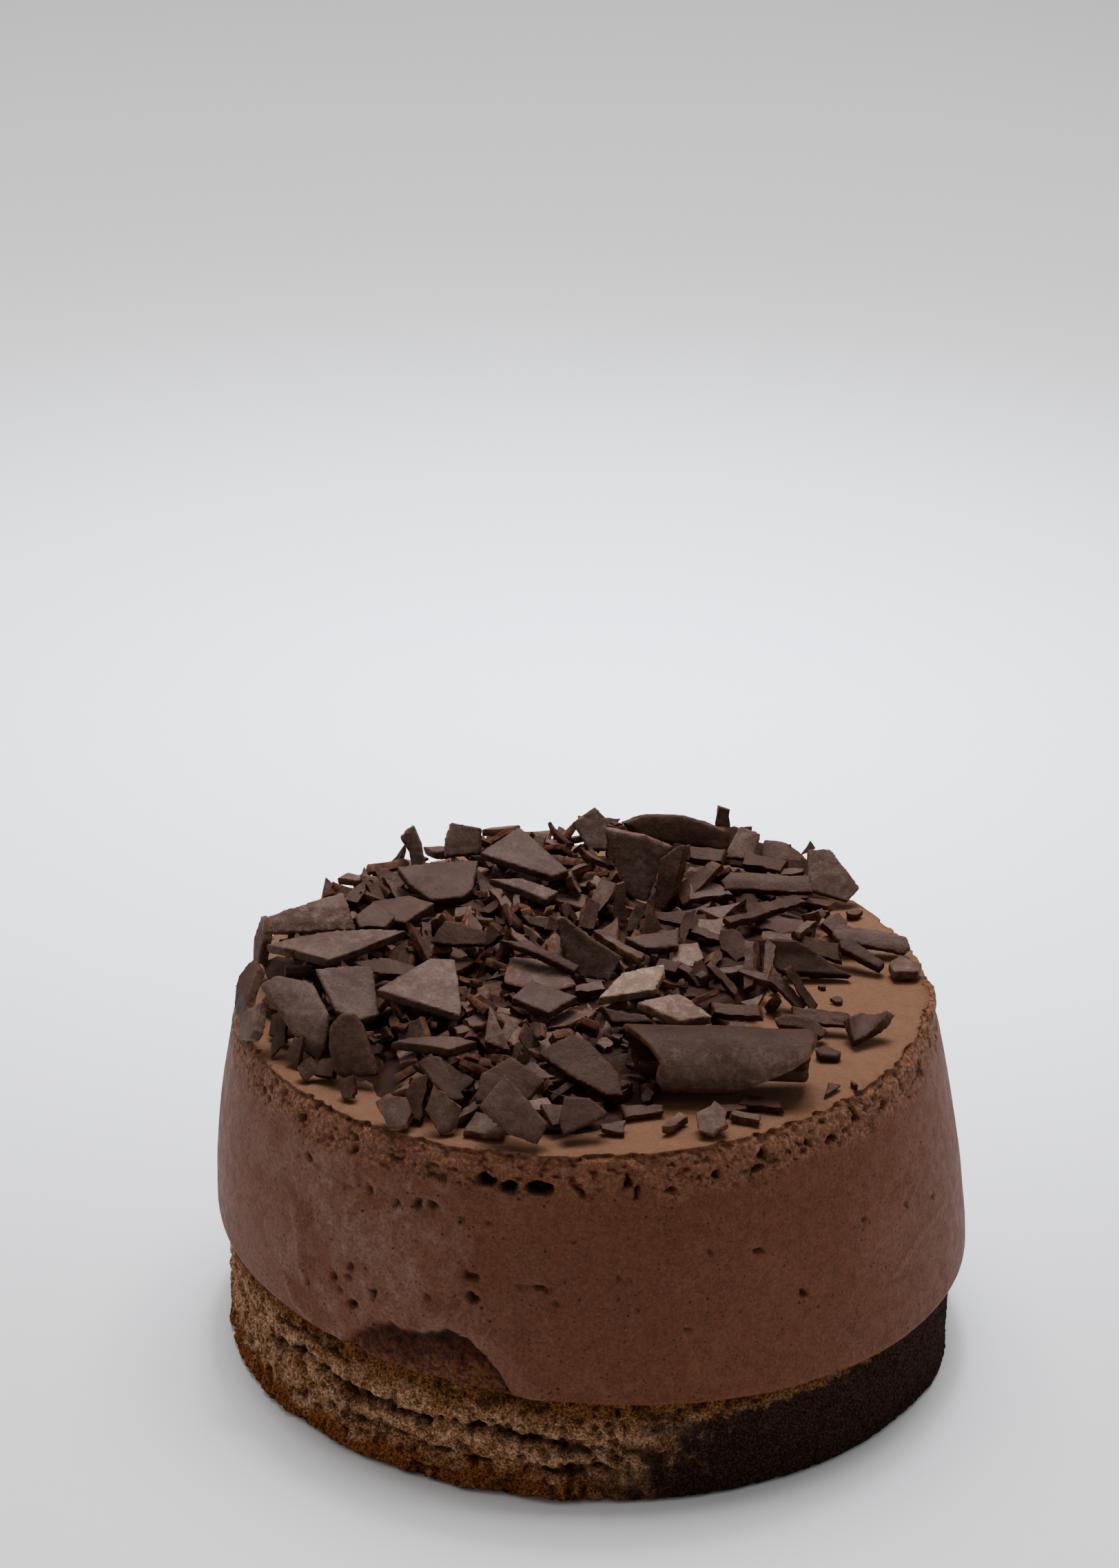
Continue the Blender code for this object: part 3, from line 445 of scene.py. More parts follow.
def mousse_body(finish):
    columns = 900
    height = TOP_PLANE[0] - FOOT_PLANE[0]
    inner = TOP_RADIUS * (1 - (1 - np.linspace(0.04, 1, 16)) ** 2)
    down = np.linspace(0.12, TORN_BAND, 28)
    wall = np.linspace(TORN_BAND + 0.28, height, 62)
    level = np.concatenate([np.zeros(len(inner)), down, wall, np.full(3, height)])
    h = 1 - level / height
    radius = MOUSSE_RADIUS - WALL_LEAN_IN * np.clip(h, 0, 1) ** WALL_CURVE
    radius[:len(inner)] = inner
    radius[len(inner):len(inner) + 3] = TOP_RADIUS + np.array([0.04, 0.12, 0.25])
    radius[-3:] = MOUSSE_RADIUS - np.array([0.5, 1.6, 4])
    on_side = np.concatenate([np.zeros(len(inner)), np.ones(len(down) + len(wall)), np.array([0.6, 0, 0])])
    on_side[len(inner) - 3:len(inner)] = (0.15, 0.45, 0.9)

    angle = np.linspace(-math.pi, math.pi, columns, endpoint=False)
    shape = (len(h), columns)
    angle, h = np.broadcast_to(angle, shape), np.tile(h[:, None], columns)
    radius = np.tile(radius[:, None], columns)
    side, below = np.tile(on_side[:, None], columns), np.tile(level[:, None], columns)
    around = np.degrees(angle)
    x, y = middle_x(h) + radius * np.cos(angle), radius * np.sin(angle)
    low, top = plane(FOOT_PLANE, x, y), plane(TOP_PLANE, x, y)
    z = low + h * (top - low)
    past = partial(turn_between, angle)
    wild = noise_over(np.stack([x, y, z], axis=-1).reshape(-1, 3), shape)

    ragged = below + 1.5 * wild(4, 2, 5) + 0.6 * wild(1.1, 2, 22)
    band = side * step(below, 0.05, 0.4) * (1 - step(ragged, TORN_BAND - 1.3, TORN_BAND - 0.1))
    # a patch of pale smears on the front left side: partly real smears, partly a painted sheen
    patches = step(wild(5, 3, 9) + 0.5 * wild(1.7, 2, 27), -0.35, 0.3)
    smear = side * (1 - band) * bump(past(SMEAR_AND_SHEEN_SIDE), 42) * patches
    out = 0.12 * wild(9, 2, 1) + 0.035 * wild(2.2, 2, 2)
    out += smear * (0.2 * wild(3.2, 2, 3, (1, 1, 0.55)) + 0.06 * wild(1.2, 1, 4))
    # the band under the edge tore when the ring came off: crumbly, with flat slots
    crumb = 0.14 * wild(2.4, 2, 6, (1, 1, 1.8)) + 0.15 * wild(0.8, 2, 7) + 0.1 * wild(0.45, 1, 21)
    gaps = wild(0.75, 2, 8, (1, 1, 1.4))
    crumb -= 0.34 * step(gaps, 0.3, 0.52) + 0.12
    out += band * crumb
    # the smooth top's edge is crisp, with a small step down to the torn band
    out -= side * TORN_STEP * 0.5 * bump(below - 0.7, 0.8)
    nicks = 0.55 * step(wild(1.1, 2, 25), 0.05, 0.45) + 0.2 * wild(0.7, 1, 26)
    out -= nicks * bump(below, 1.6) * (h > 0.5)
    # thinner pale smears, partly painted sheen, lie all round, and fewer in front, so the sides are painted
    # paler than the front
    thin = 0.4 - 0.34 * bump(past(FRONT + 5), 48)
    smear = np.maximum(smear, thin * side * (1 - band) * step(wild(8, 3, 28), 0.05, 0.5))
    # the raised folds are painted paler along their ridges: pale smear and painted sheen
    for half_width, lift, pale, line in WALL_FOLDS:
        ridge = side * bump(distance_to_line(around + 0.5 * wild(2.5, 1, 19), z, line), half_width)
        out += lift * ridge
        smear = np.maximum(smear, pale * ridge)
    cracks = hollows(around + 1.2 * wild(1.2, 1, 12), below + 0.25 * wild(0.9, 1, 20),
                     TOP_RADIUS, TORN_CRACKS)
    pits = hollows(around + 0.9 * wild(0.9, 2, 13), z + 0.4 * wild(0.7, 2, 14),
                   MOUSSE_RADIUS, WALL_PITS)
    out -= side * (cracks + pits)
    # a piece is torn out of the foot, down to crumb that soaked up the mousse
    edge_height = np.interp(around, *np.array(NOTCH_EDGE).T, left=0, right=0)
    notch = side * step(edge_height + 0.9 * wild(1.5, 3, 15) - z, -0.35, 0.75)
    shallow = 1 - 0.75 * step(edge_height - z, 0.3, 3.2)
    shallow = shallow - 0.2 * step(past(NOTCH_MIDDLE - 3), 8, -8)
    crumbly = 0.4 * wild(1.0, 2, 16) + 0.2 * wild(0.5, 1, 23)
    out -= notch * (NOTCH_DEPTH * np.clip(shallow, 0.1, 1) + crumbly)
    over_foot = z + 1.3 * wild(1.1, 3, 24) - low
    crumbed = notch * step(over_foot - 0.12 * past(NOTCH_MIDDLE), 2.4, 0.9)
    lift = (1 - side) * (0.1 * wild(7, 2, 10) + 0.03 * wild(1.6, 1, 11)) * (h > 0.5)
    # a thin lip of mousse stands up at the right
    lip = side * bump(past(LIP_MIDDLE), 12) * bump(below - 0.8, 1.2)
    lift = lift + lip * (1.0 + 0.6 * wild(1.5, 1, 17))
    out += lip * 0.45
    radius = radius + side * out
    x, y = middle_x(h) + radius * np.cos(angle), radius * np.sin(angle)
    z = z + lift
    piece = mesh_object("mousse_body_look", ring_points(np.stack([x, y, z], axis=-1)),
                        ring_faces(*shape), finish)
    # painted shade: cracks, pits and gaps in the torn band are painted dark, and a shadow line is painted
    # just under the notch's upper edge
    pit = side * np.clip(step(cracks, 0.25, 1.0) + 0.75 * step(pits, 0.2, 0.6), 0, 1)
    pit = np.maximum(pit, 0.35 * band * step(gaps, 0.34, 0.56))
    shadow_under_edge = bump(edge_height - 0.6 - z, 1.1) * step(past(NOTCH_MIDDLE - 5), -8, 8)
    pit = np.maximum(pit, 0.75 * notch * shadow_under_edge)
    # painted shade: the pale torn crumbs are fewer in front, so the front of the band is painted darker
    torn = band * (1 - 0.55 * bump(past(FRONT - 2), 42))
    disc = (1 - side) * (h > 0.5)
    paint_rings(piece, torn=torn, smear=smear, soaked=notch, crumbed=crumbed, disc=disc, pit=pit)
    return piece


# ---------------------------------------------------------------- the sponge base

SPONGE_SPLITS = (
    # half width, depth; then points as degrees round from +X and heights
    (0.7, 1.5, ((-150, 6.6), (-139, 8.8), (-136, 8), (-133, 7.3), (-129.6, 6.9), (-121.6, 7),
                (-114, 6.7))),
    (0.8, 1.6, ((-112, 7.4), (-103.3, 7.5), (-96, 6.6), (-89.8, 6.1), (-84.6, 5.4), (-78, 5.2))),
    (0.5, 1, ((-128, 4.4), (-120, 4.6), (-112, 3.8), (-104, 3.6))),
    (0.4, 0.8, ((-146, 10.2), (-138, 11), (-130, 10.2))),
    (0.7, 1.4, ((-174, 7), (-168, 9.2), (-161, 8.2), (-158, 5.6))),
    (0.6, 1.2, ((-99, 3.6), (-92, 3.2), (-86, 3.8))),
    (0.7, 1.4, ((150, 7.6), (160, 8.2), (172, 6.8))),
    (0.6, 1.2, ((112, 5.4), (122, 6.2), (135, 5))),
)
CRUST_FLAKE = -94              # degrees round from +X, of the flake that stands off the foot
CRUST_HEIGHT = 0.3             # share of the sponge's height


def sponge_base(finish):
    columns, rows = 1250, 70
    angle = np.linspace(-math.pi, math.pi, columns, endpoint=False)
    # rows run over the top edge, down the side and under
    h = np.concatenate([[1, 1, 1], np.linspace(0.985, 0.015, rows), [0, 0, 0]])
    inset = np.concatenate([[6, 2, 0.5], np.zeros(rows), [0.6, 2, 6]])
    side = np.concatenate([[0, 0, 0.4], np.ones(rows), [0.4, 0, 0]])
    shape = (len(h), columns)
    angle, h = np.broadcast_to(angle, shape), np.tile(h[:, None], columns)
    inset, side = np.tile(inset[:, None], columns), np.tile(side[:, None], columns)
    radius = SPONGE_RADIUS - inset
    x, y = FOOT_X + radius * np.cos(angle), radius * np.sin(angle)
    z = h * (plane(FOOT_PLANE, x, y) - GAP)
    past = partial(turn_between, angle)
    wild = noise_over(np.stack([x, y, z], axis=-1).reshape(-1, 3), shape)

    # the moist side runs from the front to the back right, under a golden band that fades out
    start = past(MOIST_START) + 5 * wild(4, 2, 31) - 14 * (h - 0.5)
    end = past(MOIST_END) + 16 * wild(5, 4, 32) + 12 * (h - 0.5)
    moist = step(start + 9 * wild(1.2, 3, 48), -9, 9) * (1 - step(end, -7, 7))
    under_top = (1 - h) * FOOT_PLANE[0]
    fading = 2.3 * step(past(MOIST_START + 1), 0, 50)
    moist = moist * step(under_top + 1.2 * wild(1.2, 3, 33) + fading, 2.6, 3.8)
    rough = 1 - 0.65 * moist
    around = np.degrees(angle) + 1.6 * wild(2.2, 2, 34)
    bent = z + 0.55 * wild(2.0, 2, 35) + 0.35 * wild(0.8, 1, 47)
    broken_up = step(wild(1.5, 2, 46), -0.6, 0.1)
    splits, split_depth = np.zeros(shape), np.zeros(shape)
    for half_width, depth, line in SPONGE_SPLITS:
        split = bump(distance_to_line(around, bent, line), half_width * 1.3) * broken_up
        splits, split_depth = np.maximum(splits, split), np.maximum(split_depth, depth * split)
    crevices = step(wild(1.6, 3, 42, (1, 1, 1.15)), 0.24, 0.46) * rough
    out = 0.35 * wild(11, 2, 36) - 0.75 * split_depth - 0.45 * crevices
    out += rough * (0.26 * wild(2.0, 2, 37, (1, 1, 1.4)) + 0.26 * wild(0.85, 2, 38) + 0.17 * wild(0.5, 1, 44))
    pores = step(wild(0.8, 2, 39), 0.26, 0.5) * rough
    out -= 0.45 * pores
    out += 0.2 * bump(h - 0.05, 0.08) - 0.7 * step(0.04 - h, 0, 0.04)
    flake_there = bump(past(CRUST_FLAKE), 7) * bump(h - 0.07, 0.07)
    out += 0.9 * flake_there * step(wild(1.5, 1, 45), -0.3, 0.3)
    radius = radius + side * out
    x, y = FOOT_X + radius * np.cos(angle), radius * np.sin(angle)
    piece = mesh_object("sponge_base_look", ring_points(np.stack([x, y, z], axis=-1)),
                        ring_faces(*shape), finish)
    dry = 1 - moist
    golden = bump(np.maximum(under_top + 0.9 * wild(2.5, 2, 40) - 1.7, 0), 3.3) * dry
    crust = step(CRUST_HEIGHT - h + 0.22 * wild(2.2, 3, 41), 0, 0.15) * dry
    # painted shade: splits, pores and crevices are painted dark
    dark = np.clip(0.85 * step(splits, 0.3, 0.9) + 0.5 * pores + 0.5 * crevices, 0, 1) * dry
    paint_rings(piece, moist=moist, golden=golden, crust=crust, hollow=dark * side)
    return piece


# ---------------------------------------------------------------- the chocolate

# How pale each large shaving is painted, partly its own tone and partly painted light and shade for how it
# lies to the lamps; those not named here take turns at OTHER_SHADES
SHADES = {
    "plate_centre": 2.5, "behind_roll": 1.75, "plank_left": 1.3, "standing_curl": 1.25,
    "upright_back": 1.25, "chip_back": 1.2, "spike_front": 1.25, "end_left": 1.3, "diamond_right": 1.15,
    "curl_left": 0.95, "fin_centre": 0.95, "triangle_back": 0.9, "tongue_left": 0.65, "blade_back": 0.7,
    "diamond": 0.78, "triangle_front": 0.75, "strip_front": 0.75, "roll_front": 0.78, "plate_back": 0.72,
    "plate_mid_left": 0.72, "inner_left": 0.7, "strip_right": 0.7, "plate_front": 0.65, "under_roll": 0.6,
    "shell_left": 0.6, "bar_left": 0.6, "red_flake": 0.55, "flake_right": 0.6, "dark_front": 0.6,
    "leaf_front": 0.55, "lip_of_roll": 0.5, "flap_front": 0.5, "slab_right": 0.5, "hollow_right": 0.42,
    "arch_back": 0.55, "arch_right": 0.75, "triangle_left": 1.2,
}
ROUNDED = ("curl", "tongue", "arch")
VOXEL, VOXEL_ROUND_ROLL = 0.21, 0.26
# Millimetres lower than in the CAD model, down onto the disc
SUNK = {"shaving_lip_of_roll": 0.8}
OTHER_SHADES = (1.0, 1.15, 0.82, 1.08, 0.7)


def shade_of(node, number):
    return SHADES.get(node.removeprefix("shaving_"), OTHER_SHADES[number % len(OTHER_SHADES)])


def large_shaving(node, finish):
    """The CAD shaving made into a fine mesh whose faces and broken edges are slightly uneven."""
    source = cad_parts[node]
    piece = bpy.data.objects.new(node + "_look", source.data.copy())
    bpy.context.scene.collection.objects.link(piece)
    remesh = piece.modifiers.new("fine", "REMESH")
    remesh.mode = "VOXEL"
    remesh.voxel_size = (VOXEL_ROUND_ROLL if "roll" in node else VOXEL) * MM
    if any(word in node for word in ROUNDED):
        smooth = piece.modifiers.new("round", "SMOOTH")
        smooth.factor, smooth.iterations = 0.5, 26
    depsgraph = bpy.context.evaluated_depsgraph_get()
    mesh = bpy.data.meshes.new_from_object(piece.evaluated_get(depsgraph))
    piece.modifiers.clear()
    count = len(mesh.vertices)
    points, normals = np.empty(count * 3), np.empty(count * 3)
    mesh.vertices.foreach_get("co", points)
    mesh.vertex_normals.foreach_get("vector", normals)
    points, normals = points.reshape(-1, 3) / MM, normals.reshape(-1, 3)
    # a point is on a broken edge where the solid is wide below it
    tree = BVHTree.FromObject(source, depsgraph)
    wide = np.ones(count)
    for i in range(count):
        start = Vector((points[i] - 0.1 * normals[i]) * MM)
        hit = tree.ray_cast(start, Vector(-normals[i]), 3 * MM)
        if hit[0] is not None:
            wide[i] = hit[3] / MM
    broken = step(wide, 1.6, 2.4)
    out = 0.05 * fractal(points, 2.5, 2, 51) + 0.03 * noise(points, 0.6, 52)
    out += broken * (0.16 * noise(points, 1.1, 53) + 0.1 * noise(points, 0.5, 54))
    points += normals * (out - 0.03)[:, None]
    points[:, 2] -= SUNK.get(node, 0)
    mesh.vertices.foreach_set("co", (points * MM).ravel())
    mesh.shade_smooth()
    mesh.materials.clear()
    mesh.materials.append(finish)
    piece.data = mesh
    paint(piece, "broken", broken)
    return piece


ROLL_AT = (13.5, -23, 43.3)
ROLL_RADIUS = 3.4
ROLL_THICKNESS = 1.0
ROLL_TIGHTENING = 0.075       # millimetres of radius lost along each millimetre of sheet
ROLL_START = math.radians(-66)
ROLL_SHEET = (
    # distance along the sheet, then where its left and right edges lie from the roll's middle
    (0, -5.6, 0.6), (0.6, -6.3, 1.2), (1.6, -6.6, 2.2), (2.6, -6.8, 3.6), (4.4, -6.6, 6.9), (5.6, -7.2, 8.5),
    (7.2, -8.6, 9.4), (9, -9.9, 9.5), (10.5, -10.2, 9.1), (14, -9.6, 8.7), (20, -8.9, 8.9), (25, -8.6, 8.4),
)


def broken_outline(rng, length, width):
    """Corners of one flat piece with straight, broken sides."""
    low, high, tip = rng.uniform(0.05, 0.35), rng.uniform(0.05, 0.4), rng.uniform(-0.35, 0.35)
    corners = (
        ((-0.5, -0.5), (0.5, -0.5 + low), (tip, 0.5)),
        ((-0.5, -0.5 + low), (0.5, -0.5), (0.5 - high, 0.5 - low), (-0.5 + high, 0.5)),
        ((-0.5, -0.5), (0.5 - low, -0.5), (0.5, 0.5 - high), (-0.5 + high, 0.5)),
        ((-0.5, -0.2), (-0.1, -0.5), (0.5, -0.5 + high), (0.5 - low, 0.5), (-0.5 + low, 0.4)),
        ((-0.5, -0.3), (0.1, -0.5), (0.5, -0.5 + low), (0.2, 0.4), (-0.3, 0.5)),
    )[rng.integers(5)]
    return np.array(corners) * (length, width)


def flake(rng, corners, thickness, curl):
    """One small broken flake as points and triangles, lying flat about its middle, in millimetres."""
    length = np.ptp(corners[:, 0])
    edge = []
    for a, b in zip(corners, np.roll(corners, -1, axis=0)):
        pieces = max(2, int(np.hypot(*(b - a)) / 0.65))
        share = np.arange(pieces)[:, None] / pieces
        edge.append(a + (b - a) * share + rng.normal(0, 0.07, (pieces, 2)))
    edge = np.concatenate(edge)
    count = len(edge)
    middle = edge.mean(0)
    slant = rng.normal(0, 0.12)
    layers = []
    for level, shrink in ((0.5, 0.55), (0.5, 0.94), (0.34, 1), (-0.34, 1), (-0.5, 0.94), (-0.5, 0.55)):
        ring = middle + (edge - middle) * (shrink + slant * level * 0.5)
        if shrink == 1:
            ring = ring + rng.normal(0, 0.05, ring.shape)
        layers.append(np.column_stack([ring, np.full(count, level * thickness)]))
    points = ring_points(np.array(layers))
    points[:, 2] += curl * ((points[:, 0] / length) ** 2 - 0.08)
    points[:, 2] += 0.05 * noise(points + rng.uniform(-50, 50, 3), 1.2, 61)
    rim = np.zeros(len(points))
    rim[2 * count:4 * count] = 1
    rim[count:2 * count] = 0.3
    quads, top, bottom = ring_faces(len(layers), count)
    triangles = np.concatenate([quads[:, [0, 1, 2]], quads[:, [0, 2, 3]], top, bottom])
    return points, triangles, rim


def rolled_sheet(name, finish, shade):
    """The sheet rolled up on itself at the front, open at its left end."""
    rows, half = 190, 80
    along = np.linspace(0, ROLL_SHEET[-1][0], rows)
    left = np.interp(along, *np.array([(v, a) for v, a, b in ROLL_SHEET]).T)
    right = np.interp(along, *np.array([(v, b) for v, a, b in ROLL_SHEET]).T)
    rings = []
    share = (1 - np.cos(np.linspace(0, math.pi, half))) / 2
    for v, a, b in zip(along, left, right):
        # both edges are uneven
        a = a + 0.35 * noise([[v, 0, 3]], 2.6, 81)[0] + 0.12 * noise([[v, 0, 9]], 0.8, 82)[0]
        b = b + 0.3 * noise([[v, 5, 3]], 2.6, 83)[0] + 0.12 * noise([[v, 5, 9]], 0.8, 84)[0]
        x = a + (b - a) * share
        edge = np.minimum(np.minimum(x - a, b - x), min(v, along[-1] - v) + 0.02) / (ROLL_THICKNESS * 0.45)
        thick = ROLL_THICKNESS / 2 * np.sqrt(np.clip(1 - (1 - np.clip(edge, 0.03, 1)) ** 2, 0, 1))
        turn = ROLL_START + v / ROLL_RADIUS
        radius = ROLL_RADIUS - ROLL_TIGHTENING * v
        ring = []
        for side in (1, -1):
            r = radius + side * thick + 0.1 * noise(np.column_stack([x, 0 * x + v, 0 * x]), 4.5, 85)
            layer = np.column_stack([x, -r * math.cos(turn), r * math.sin(turn)])
            ring.append(layer if side > 0 else layer[::-1])
        rings.append(np.concatenate(ring))
    points = ring_points(np.array(rings)) + np.array(ROLL_AT)
    made = mesh_object(name, points, ring_faces(rows, 2 * half), finish)
    near_edge = np.tile(np.concatenate([step(1.0 - np.minimum(share, 1 - share) * 20, 0, 1)] * 2), rows)
    rim = np.append(near_edge, [1, 1])
    rim[:2 * half * 3] = 1
    paint(made, "broken", rim)
    # painted light and shade: the outside at the front is painted paler, with more bloom, and the top and the
    # inner turns darker
    pale = shade * (2.0 - 1.4 * step(along, 3.5, 8.5))
    paint(made, "shade", np.append(np.repeat(pale, 2 * half), [shade, shade]))
    return made


def turned_to(points, lean, turn, spin):
    rotation = (Matrix.Rotation(turn, 3, "Z") @ Matrix.Rotation(lean, 3, "X") @ Matrix.Rotation(spin, 3, "Z"))
    return points @ np.array(rotation).T


class Pile:
    """Many small solids gathered into one mesh."""

    def __init__(self):
        self.points, self.faces, self.rim, self.shade, self.count = [], [], [], [], 0

    def add(self, points, faces, rim, shade):
        self.points.append(points)
        self.faces.append(faces + self.count)
        self.rim.append(rim)
        self.shade.append(np.full(len(points), shade))
        self.count += len(points)

    def make(self, name, finish):
        made = mesh_object(name, np.concatenate(self.points), [np.concatenate(self.faces)], finish)
        paint(made, "broken", np.concatenate(self.rim))
        paint(made, "shade", np.concatenate(self.shade))
        made.data.set_sharp_from_angle(angle=math.radians(40))
        return made


VIEW_FROM_FRONT = Vector((0, 0.92, -0.39))
HIDING_DISTANCE = 9
DISC_CLEARANCE = 0.05


def clear_of_disc(points):
    """Lifts a piece whose points would dip into the smooth top."""
    low = (points[:, 2] - plane(TOP_PLANE, points[:, 0], points[:, 1])).min()
    points[:, 2] += max(0, DISC_CLEARANCE - low)
    return points


def fall_height(tree, x, y):
    """Where something falling at (x, y) meets the tree, or None."""
    hit = tree.ray_cast(Vector((x, y, 70)) * MM, Vector((0, 0, -1)), 60 * MM)
    return None if hit[0] is None else hit[0].z / MM


class Surface:
    """The CAD heap, and the larger shavings, as trees for finding what is near."""

    def __init__(self, nodes, placed):
        depsgraph = bpy.context.evaluated_depsgraph_get()
        self.heap = BVHTree.FromObject(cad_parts["shavings_heap"], depsgraph)
        joined = bmesh.new()
        for node in nodes:
            joined.from_mesh(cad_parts[node].data)
        for piece in placed:
            joined.from_mesh(piece.data)
        self.large = BVHTree.FromBMesh(joined)
        joined.free()

    def clear_of_large(self, points, distance):
        return all(self.large.find_nearest(Vector(point) * MM, distance * MM)[0] is None
                   for point in points)

    def hides_large(self, points):
        """Whether a small piece would lie over a large shaving, seen from the front and above."""
        reach = HIDING_DISTANCE * MM
        return any(self.large.ray_cast(Vector(point) * MM, VIEW_FROM_FRONT, reach)[0] is not None
                   for point in points)


CORE_INSET = 2.6
# how dark the heap's inside is painted: a painted shade for the gaps between the shavings
CORE_PAINTED_SHADE = 0.24


def heap_core(surface, finish):
    """The crumbly inside of the heap, lower than the shavings that cover it, painted dark as the shade in the
    gaps between them.
    """
    rings, columns = 44, 180
    angle = np.linspace(-math.pi, math.pi, columns, endpoint=False)
    reach = np.empty(columns)
    for i, a in enumerate(angle):
        r = HEAP_REACH
        while r > 5 and fall_height(surface.heap, r * math.cos(a), r * math.sin(a)) is None:
            r -= 0.25
        reach[i] = r - CORE_INSET
    rows = []
    for share in np.linspace(0.02, 1, rings):
        r = share * reach
        x, y = r * np.cos(angle), r * np.sin(angle)
        z = np.array([fall_height(surface.heap, a, b) or 0 for a, b in zip(x, y)])
        base = plane(TOP_PLANE, x, y)
        depth = np.clip((z - base) - 2.3, 0.1, 1.9) * step(1 - share, 0, 0.2)
        rows.append(np.stack([x, y, base + 0.02 + depth], axis=-1))
    rows.append(np.stack([x, y, base - 0.3], axis=-1))
    points = ring_points(np.array(rows))
    raised = step(points[:, 2] - plane(TOP_PLANE, *points[:, :2].T), 0.1, 0.8)
    points[:, 2] += 0.45 * fractal(points, 1.8, 2, 71) * raised
    made = mesh_object("heap_core", points, ring_faces(len(rows), columns), finish)
    paint(made, "broken", np.ones(len(points)))
    # painted shade: the whole inside is painted dark
    paint(made, "shade", np.full(len(points), CORE_PAINTED_SHADE))
    return made


